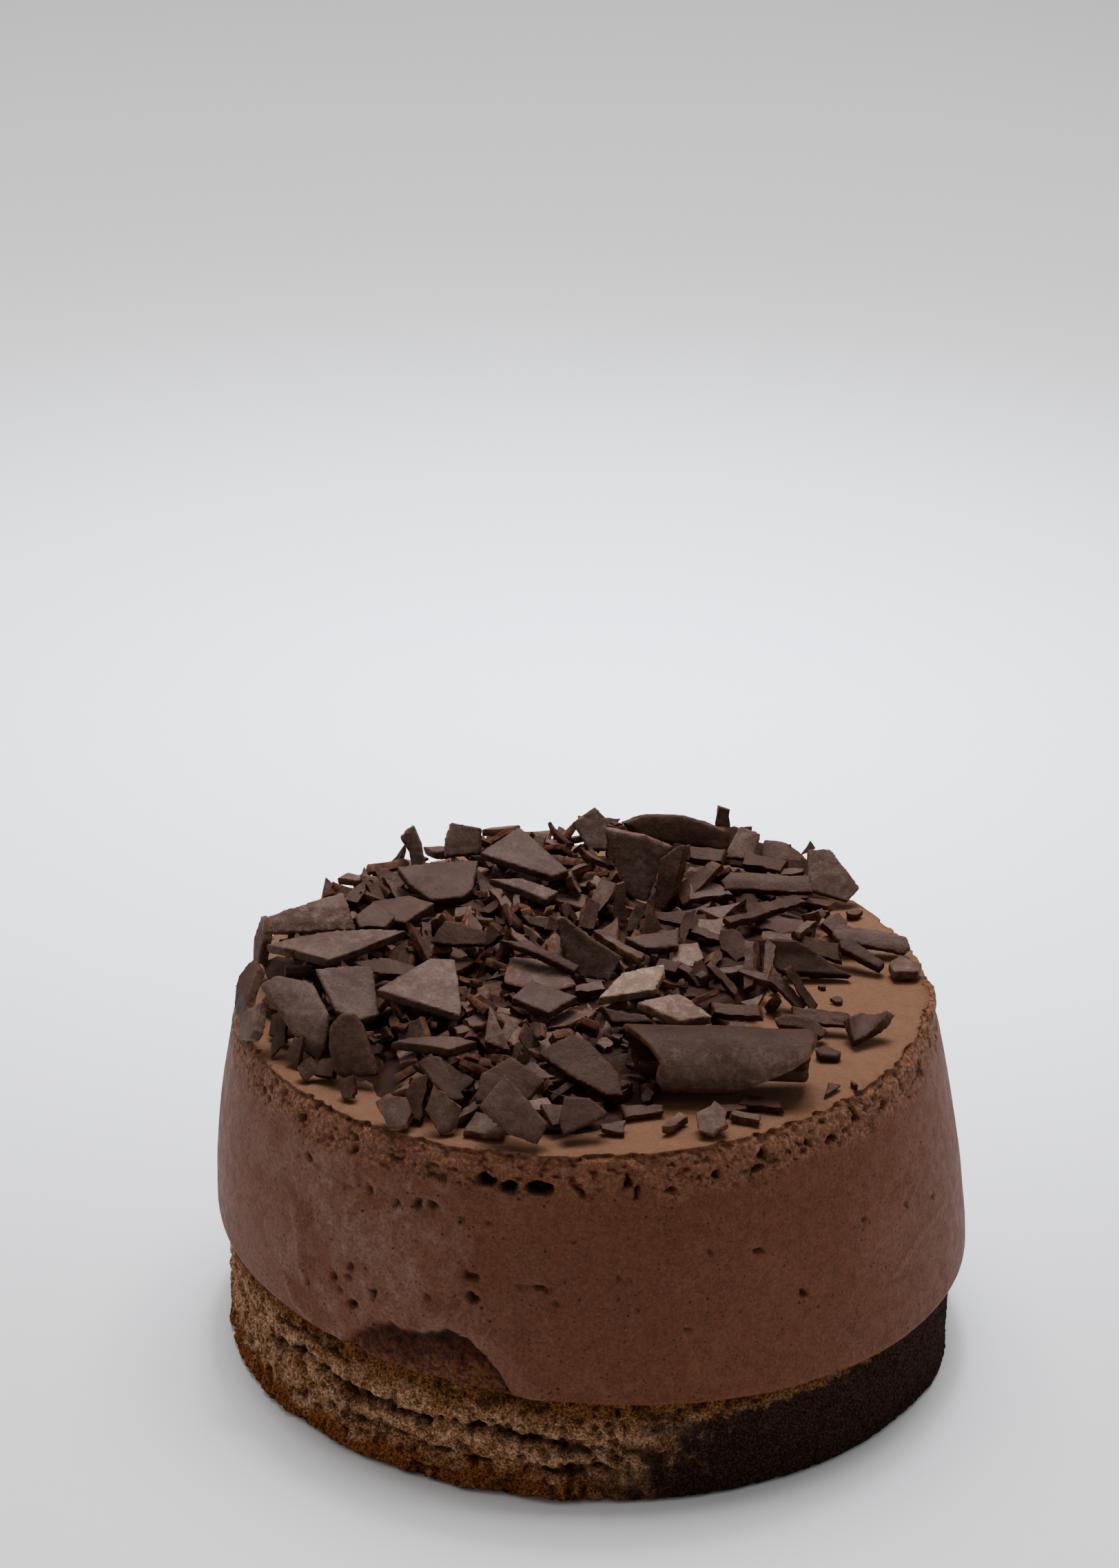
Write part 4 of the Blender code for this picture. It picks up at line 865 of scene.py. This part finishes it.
OUTLINES = {
    # corners of a piece one long and one wide
    "bar": ((-0.5, -0.5), (0.5, -0.45), (0.47, 0.5), (-0.5, 0.4)),
    "wedge": ((-0.5, -0.5), (0.5, -0.2), (0.42, 0.32), (-0.5, 0.5)),
    "leaf": ((-0.5, 0.1), (-0.15, -0.5), (0.35, -0.4), (0.5, 0.0), (0.2, 0.5), (-0.25, 0.45)),
    "shard": ((-0.5, -0.5), (0.5, -0.1), (0.05, 0.5)),
    "plate": ((-0.5, -0.4), (0.1, -0.5), (0.5, -0.1), (0.3, 0.5), (-0.45, 0.4)),
}
PLACED = (
    # outline; x, y and height over the disc; length, width, thickness;
    # lean, turn and spin in degrees; curl; shade
    ("wedge", 19.7, 12.7, 3.6, 6.6, 1.4, 1.2, 40, 22, 0, 0.5, 0.9),
    ("shard", 13.8, 11.7, 3.2, 5.2, 3.2, 0.8, 20, 12, 180, 0, 1),
    ("bar", 13.3, 8.2, 2.9, 5, 2.8, 0.8, 30, 4, 0, 0, 1.2),
    ("plate", 20.4, 10.1, 2.4, 5.6, 3, 0.8, 8, -8, 0, 0, 0.9),
    ("leaf", 15, 4.3, 3, 3.6, 3.9, 0.9, 60, 0, 20, -0.8, 0.6),
    ("bar", 11.1, 9.4, 2.9, 2.5, 2.2, 1.6, 30, 0, 0, 0, 0.5),
    ("bar", 8, -0.4, 2.6, 2.6, 1.6, 1.4, 25, -10, 0, 0, 0.45),
    ("bar", 2.8, 1.7, 4, 8.2, 1.3, 1, 0, -42, 0, 0.4, 1),
    ("wedge", 14, 32, 3.2, 6.4, 2.6, 1, 76, 0, 84, 0, 0.8),
    ("shard", 23.6, 26.2, 4.3, 1.8, 1.4, 0.7, 50, 0, 0, 0, 0.9),
    ("leaf", 28.4, 17, 0.5, 1.8, 1, 0.7, 15, 20, 0, 0, 0.75),
    ("leaf", -19.4, -30.6, 1.7, 3.5, 3.4, 0.9, 52, -12, 0, -0.6, 0.75),
    ("wedge", -17.4, -28.6, 2.2, 4.6, 2.6, 1, 62, -20, 80, 0, 0.7),
    ("leaf", -14.6, -31.4, 1.9, 5, 3.2, 0.9, 58, 8, -62, -0.5, 0.85),
    ("plate", -10.2, -32.3, 0.9, 5, 3.2, 0.8, 30, -14, 0, -0.5, 0.8),
    ("bar", -4.9, -30.4, 2.3, 2.4, 1.5, 0.8, 30, 24, 0, 0, 1.9),
    ("wedge", -2.4, -31, 1.6, 4.8, 2.4, 1, 40, 28, 0, 0.4, 0.85),
    ("bar", -0.4, -29.6, 1.7, 3.6, 2, 0.9, 45, -35, 0, 0, 0.9),
    ("wedge", 2.3, -31.9, 0.6, 2.4, 1.6, 0.7, 20, -8, 180, 0, 0.9),
    ("wedge", 8.5, -31.2, 0.7, 3.6, 1.4, 0.8, 12, 60, 180, 0, 0.85),
    ("leaf", 12.4, -31.6, 0.9, 3.2, 2.8, 1.1, 38, -10, -80, -0.5, 1.1),
    ("bar", 15.8, -29.6, 0.5, 3.4, 1.2, 0.8, 5, -18, 0, 0.3, 0.85),
    ("shard", 24.8, -23.1, 0.5, 2.6, 1.3, 0.5, 25, 50, 0, 0, 0.9),
    ("leaf", 26.9, -22.2, 0.3, 1.4, 0.6, 0.6, 10, -60, 0, 0, 0.7),
    ("leaf", -32.2, -15.2, 2, 4.4, 1.4, 0.8, 70, -30, 82, 0, 0.95),
    ("wedge", -30.2, -17.6, 1.6, 3.2, 1.8, 0.8, 62, -20, 80, 0, 0.95),
    ("leaf", -28.8, -20.6, 0.9, 1.9, 2.2, 0.9, 55, 0, 0, 0, 0.7),
    ("bar", -26.9, -20.8, 1.4, 2.2, 2, 1, 45, -20, 0, 0, 0.55),
    ("leaf", -24.5, -24.8, 1.1, 2.2, 2.6, 0.9, 60, -25, 0, 0, 0.8),
    ("bar", 20.4, -4.8, 1.9, 5.2, 1.2, 0.9, 58, 0, 126, 0, 0.85),
    ("bar", 21.8, -5.2, 1.8, 5, 1.1, 0.9, 58, 0, 120, 0, 0.8),
    ("bar", 17.6, -2.4, 2.5, 5.4, 1.2, 1, 20, -26, 0, 0.5, 1),
    ("bar", 14.6, -1, 2.5, 4.8, 1, 0.9, 20, 28, 0, 0.7, 0.9),
    ("bar", 10.6, -2, 2.8, 4.4, 1.1, 1, 30, -50, 0, 0.9, 0.8),
    ("bar", 15.2, -9, 1.9, 5.2, 1.6, 0.8, 28, -16, 0, 0.4, 0.8),
    ("bar", 24.2, -10, 1.7, 6.4, 1.7, 0.8, 48, -18, 0, -0.6, 0.7),
    ("bar", -31.4, -1.2, 2.6, 3.2, 1.4, 0.9, 20, 10, 0, 0, 0.8),
    ("plate", -6, -3.7, 3.4, 8, 5, 0.8, 10, 0, 0, 0, 1.2),
    ("bar", 12.1, 20.4, 6, 4.4, 2, 1.2, 30, -22, 0, 0, 0.6),
    ("bar", 18.7, 22, 4, 5.5, 2, 1.2, 30, -16, 0, 0, 0.5),
    ("wedge", 11.1, 16.1, 5, 5.4, 2.6, 0.9, 55, -25, 60, 0, 0.75),
    ("wedge", 12.4, 15.4, 4, 4.6, 3, 0.9, 35, 14, 0, 0, 1.2),
    ("wedge", 21.4, 20.9, 3.6, 3.2, 1.2, 0.8, 20, 0, 0, 0, 0.9),
    ("bar", 0.7, 13.2, 4.6, 3.6, 1.8, 1, 55, -15, 70, 0, 0.95),
    ("wedge", 2.7, 11.5, 4.6, 4.4, 1.6, 1, 68, 10, 86, 0, 0.8),
    ("bar", -0.7, 10, 4, 3.4, 1.6, 1, 50, 20, 60, 0, 0.95),
    ("bar", 4.5, 7.8, 5, 3.6, 1.1, 1, 66, -10, 70, 0, 0.9),
    ("shard", 6.1, 6.7, 4.3, 2.6, 5.2, 0.9, 72, 0, 0, 0, 0.85),
    ("wedge", 8.8, 9.9, 3.6, 4.4, 1.9, 0.9, 30, 8, 180, 0, 0.8),
    ("plate", 19.7, 7, 2.4, 3.4, 2, 0.7, 30, -20, 0, 0, 1.3),
    ("bar", 24, 6.4, 1.6, 5.4, 2, 1, 30, -42, 0, 0, 0.6),
    ("leaf", 26, 11.2, 1.9, 2.8, 2.4, 1.3, 30, 0, 0, 0, 0.85),
    ("plate", 10.1, 1.8, 2.9, 3.6, 3.2, 0.9, 32, 12, 0, 0, 1.3),
    ("bar", 12.8, 1.6, 2.8, 3.4, 1.1, 0.9, 40, 55, 0, 0, 0.9),
    ("bar", 16.7, -0.9, 3, 5.6, 1.2, 1.1, 52, -20, 112, 0, 1),
    ("leaf", 11.2, -2.1, 2.7, 2.3, 2.8, 1.4, 40, 0, 0, 0, 0.45),
    ("shard", 17.1, -6.7, 1.5, 3, 1.9, 0.8, 30, 0, 180, 0, 1.1),
    ("leaf", 1.4, -17.4, 2.3, 1.6, 1.2, 1, 30, 0, 0, 0, 1.3),
    ("leaf", 2.6, -16.4, 2.6, 1.3, 1, 0.9, 20, 40, 0, 0, 1.2),
    ("bar", -0.4, -5.9, 2.9, 3.4, 1.2, 1.1, 20, 16, 0, 0, 1.2),
    ("wedge", 17.4, -27, 0.7, 4.2, 1.7, 0.8, 25, -12, 0, 0, 0.55),
    ("wedge", 14.6, -27.9, 0.5, 3.2, 1.5, 0.7, 15, 10, 0, 0, 0.6),
    ("wedge", 5.4, -28.5, 0.7, 4.2, 1.6, 0.8, 20, 15, 0, 0, 0.6),
    ("bar", 4.8, 29.8, 3.6, 8.5, 3.6, 1.2, 60, 2, 0, 0, 0.5),
    ("bar", 12.8, 29, 3.2, 8, 4.2, 1.2, 60, -6, 0, 0, 0.5),
    ("bar", 18.6, 26.8, 2.8, 6.5, 3.6, 1.2, 58, -16, 0, 0, 0.55),
    ("bar", 23.4, 23.6, 2.4, 5.5, 3.2, 1.1, 60, -36, 0, 0, 0.5),
    ("leaf", -33.6, 1.6, 1.6, 4.2, 3, 0.9, 45, -30, 0, -0.6, 0.5),
    ("wedge", -33.2, -6.4, 1.4, 4.6, 2.6, 0.9, 48, -50, 0, -0.4, 0.45),
    ("leaf", -32.6, -11.4, 1.4, 4.2, 2.4, 0.9, 50, -55, 0, -0.4, 0.5),
    ("bar", -30.6, -7.6, 1.2, 4.6, 2.4, 0.9, 20, 60, 0, 0, 0.4),
    ("bar", 16.5, 9.6, 3.7, 4.6, 0.9, 0.9, 20, 35, 0, 0.4, 0.8),
    ("bar", 12, 6, 3.5, 3.8, 0.9, 0.8, 30, -40, 0, 0.3, 0.7),
    ("bar", 22.5, 8.4, 2.9, 3.6, 0.9, 0.8, 20, 50, 0, 0.2, 0.9),
    ("bar", 18, 16.6, 3.9, 4.4, 0.9, 0.9, 25, -30, 0, 0.3, 0.8),
    ("bar", 9.6, 6.4, 4, 4.6, 0.9, 0.9, 50, 20, 60, 0.2, 0.8),
    ("bar", 7.4, 3, 3.6, 4.2, 1, 0.9, 55, -20, 110, 0.3, 0.9),
    ("bar", 13.4, -3.6, 3.2, 4.8, 1, 0.9, 45, 10, 120, 0.3, 0.8),
    ("bar", 18.6, 1.6, 2.6, 4.4, 1.1, 0.9, 40, 15, 70, 0.3, 0.85),
    ("leaf", 25.9, -3.4, 0.1, 1.4, 0.9, 0.5, 5, 0, 0, 0, 0.6),
    ("leaf", 24.5, -0.2, 0.1, 0.9, 0.6, 0.4, 5, 0, 0, 0, 0.6),
)
KINDS = {
    # how many, length, width, thickness, most degrees of lean, height over the heap,
    # how close they lie, shade
    "small_plates": (80, (4.0, 7.5), (2.4, 4.4), (0.6, 1.0), 50, (-2.0, -0.3), 0.52, (0.4, 1.25)),
    "small_flakes": (230, (2.4, 4.8), (1.5, 3.0), (0.6, 1.0), 72, (-2.2, -0.1), 0.5, (0.4, 1.25)),
    "small_sticks": (230, (2.6, 6.4), (0.8, 1.6), (0.6, 1.0), 62, (-2.0, 0.5), 0.42, (0.4, 1.25)),
    # the crumbs lie low between the shavings and are darker than the rest, partly painted shade in the gaps
    "small_crumbs": (300, (0.6, 1.9), (0.5, 1.2), (0.4, 0.9), 70, (-2.2, -0.2), 0, (0.3, 0.8)),
}
MOST_TRIES = 40                # for each piece, to find it a place
LOW_SHARE = 0.45               # of the pieces lie low, between the others
LOW_LIFTS = (1, 3.2)           # over the disc
CLEAR_ABOVE = 1.5              # no small piece lies just under a large one


def placed_shavings(finish):
    """The small shavings whose places matter, such as those on the bare margin of the disc."""
    pile = Pile()
    for outline, x, y, lift, length, width, thick, lean, turn, spin, curl, shade in PLACED:
        corners = np.array(OUTLINES[outline])
        corners = (corners + RNG.uniform(-0.11, 0.11, corners.shape)) * (length, width)
        points, faces, rim = flake(RNG, corners, thick, curl + RNG.uniform(-0.3, 0.5))
        lean, turn = lean + RNG.uniform(-13, 13), turn + RNG.uniform(-15, 15)
        points = turned_to(points, math.radians(lean), math.radians(turn), math.radians(spin))
        points = clear_of_disc(points + (x, y, plane(TOP_PLANE, x, y) + lift))
        pile.add(points, faces, rim, shade * RNG.uniform(0.75, 1.3))
    return pile.make("placed_shavings", finish)


BARE_MARGINS = (
    # from and to, in degrees round from +X; radius past which nothing is scattered
    (-75, 10, 29), (10, 55, 30), (-180, 180, 32.5),
)


def off_limits(x, y):
    angle, radius = math.degrees(math.atan2(y, x - TOP_X)), math.hypot(x - TOP_X, y)
    return any(start <= angle <= end and radius > limit for start, end, limit in BARE_MARGINS)


def small_shavings(surface, finish):
    """Flakes, sticks and crumbs scattered over the heap between the larger shavings."""
    made = []
    taken = []
    for kind, (count, lengths, widths, thicks, lean_most, lifts, closeness, shades) in KINDS.items():
        pile = Pile()
        placed = tries = 0
        while placed < count and tries < count * MOST_TRIES:
            tries += 1
            radius, angle = HEAP_REACH * math.sqrt(RNG.random()), RNG.uniform(-math.pi, math.pi)
            x, y = TOP_X + radius * math.cos(angle), radius * math.sin(angle)
            ground = fall_height(surface.heap, x, y)
            if ground is None or off_limits(x, y):
                continue
            length, width = RNG.uniform(*lengths), RNG.uniform(*widths)
            floor_height = plane(TOP_PLANE, x, y)
            if RNG.random() < LOW_SHARE:
                z = floor_height + RNG.uniform(*LOW_LIFTS)
            else:
                z = max(ground + RNG.uniform(*lifts), floor_height + 0.4)
            large = fall_height(surface.large, x, y)
            if large is not None and large < z + CLEAR_ABOVE:
                continue
            size = (length + width) / 4
            centre = np.array([x, y, z])
            if any(np.sum((centre - c) ** 2) < (closeness * (size + s)) ** 2 for c, s in taken):
                continue
            corners = broken_outline(RNG, length, width)
            points, faces, rim = flake(RNG, corners, RNG.uniform(*thicks), RNG.uniform(-0.5, 1.3))
            lean = math.radians(lean_most) * RNG.random() ** 0.8
            points = turned_to(points, lean, RNG.uniform(-math.pi, math.pi), RNG.uniform(-math.pi, math.pi))
            points = clear_of_disc(points + centre)
            if not surface.clear_of_large(points[::4], 0.15) or surface.hides_large(points[::5]):
                continue
            pile.add(points, faces, rim, RNG.uniform(*shades))
            placed += 1
            if closeness:
                taken.append((centre, size))
        made.append(pile.make(kind, finish))
    return made


# ---------------------------------------------------------------- stage, light and camera

def stage_material():
    s = Shader("pale_floor", 0.7, 0.2)
    shade = s.noise(400, 2)
    return s.finish(s.mix(s.ramp(shade, 0.3, 0.7), (0.8, 0.8, 0.81), (0.83, 0.83, 0.84)))


def floor(finish):
    """A pale floor that curves up into a backdrop."""
    bow = 0.5
    profile = [(-1.5, 0), (0.9, 0)]
    profile += [(0.9 + bow * math.sin(t), bow - bow * math.cos(t)) for t in np.linspace(0.1, math.pi / 2, 14)]
    profile += [(0.9 + bow, 2.2)]
    points = np.array([(x, y, z) for y, z in profile for x in (-2.2, 2.2)]) / MM
    faces = np.array([(2 * i, 2 * i + 1, 2 * i + 3, 2 * i + 2) for i in range(len(profile) - 1)])
    made = mesh_object("floor", points, [faces], finish)
    return made


COOL = (0.9, 0.95, 1.15)


def area_light(name, place, aim, size, watts, spread=180, colour=(1, 1, 1)):
    data = bpy.data.lights.new(name, "AREA")
    data.shape = "RECTANGLE"
    data.size, data.size_y = size
    data.energy = watts
    data.color = colour
    data.spread = math.radians(spread)
    made = bpy.data.objects.new(name, data)
    made.location = place
    made.rotation_euler = (Vector(aim) - Vector(place)).to_track_quat("-Z", "Y").to_euler()
    bpy.context.scene.collection.objects.link(made)


def lights():
    world = bpy.data.worlds.new("studio")
    bpy.context.scene.world = world
    world.use_nodes = True
    world.node_tree.nodes["Background"].inputs["Color"].default_value = (1.0, 1.0, 1.0, 1)
    world.node_tree.nodes["Background"].inputs["Strength"].default_value = 0.3
    area_light("overhead", (0, 0.16, 0.62), (0, 0.08, 0), (0.45, 0.35), 5.7)
    area_light("behind", (0, 0.2, 0.8), (0, 0.16, 0), (0.1, 0.05), 0.21, spread=36, colour=COOL)
    area_light("patch", (0, 0.2, 0.8), (0, 0.18, 0), (0.1, 0.05), 0.24, spread=26, colour=COOL)
    area_light("left", (-0.45, -0.02, 0.3), (0, 0, 0.03), (0.25, 0.25), 0.34)
    area_light("right", (0.45, -0.02, 0.3), (0, 0, 0.03), (0.25, 0.25), 0.34)
    area_light("far", (0, 0.7, 0.9), (0, 0.72, 0), (0.3, 0.1), 0.15, spread=60)


CAMERA_PLACE = (0, -0.43111, 0.24744)
CAMERA_YAW = -0.0098
CAMERA_PITCH = 0.4043          # down from level
CAMERA_ROLL = 0.0299
CAMERA_LENS = 102.86


def camera():
    forward = Vector((math.sin(CAMERA_YAW) * math.cos(CAMERA_PITCH),
                      math.cos(CAMERA_YAW) * math.cos(CAMERA_PITCH), -math.sin(CAMERA_PITCH)))
    level = Vector((math.cos(CAMERA_YAW), -math.sin(CAMERA_YAW), 0))
    upright = level.cross(forward)
    right = math.cos(CAMERA_ROLL) * level + math.sin(CAMERA_ROLL) * upright
    up = math.cos(CAMERA_ROLL) * upright - math.sin(CAMERA_ROLL) * level
    data = bpy.data.cameras.new("camera")
    data.lens = CAMERA_LENS
    data.sensor_width = 36
    data.clip_start = 0.01
    made = bpy.data.objects.new("camera", data)
    made.matrix_world = Matrix((right, up, -forward)).transposed().to_4x4()
    made.location = CAMERA_PLACE
    bpy.context.scene.collection.objects.link(made)
    bpy.context.scene.camera = made


# ---------------------------------------------------------------- all together

def dress(piece, slot, *nodes):
    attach(piece, "root")
    if nodes:
        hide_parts(*nodes)


def main():
    camera()
    lights()
    floor(stage_material())
    dress(mousse_body(mousse_material()), "mousse", "mousse_body")
    dress(sponge_base(sponge_material()), "sponge", "sponge_base")
    chocolate = chocolate_material()
    nodes = sorted(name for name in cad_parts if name.startswith("shaving_"))
    for number, node in enumerate(nodes):
        if node == "shaving_roll_front":
            piece = rolled_sheet(node + "_look", chocolate, shade_of(node, number))
        else:
            piece = large_shaving(node, chocolate)
            paint(piece, "shade", np.full(len(piece.data.vertices), shade_of(node, number)))
        dress(piece, "chocolate", node)
    placed = placed_shavings(chocolate)
    dress(placed, "chocolate")
    surface = Surface(nodes, [placed])
    dress(heap_core(surface, chocolate), "chocolate", "shavings_heap")
    for piece in small_shavings(surface, chocolate):
        dress(piece, "chocolate")


main()
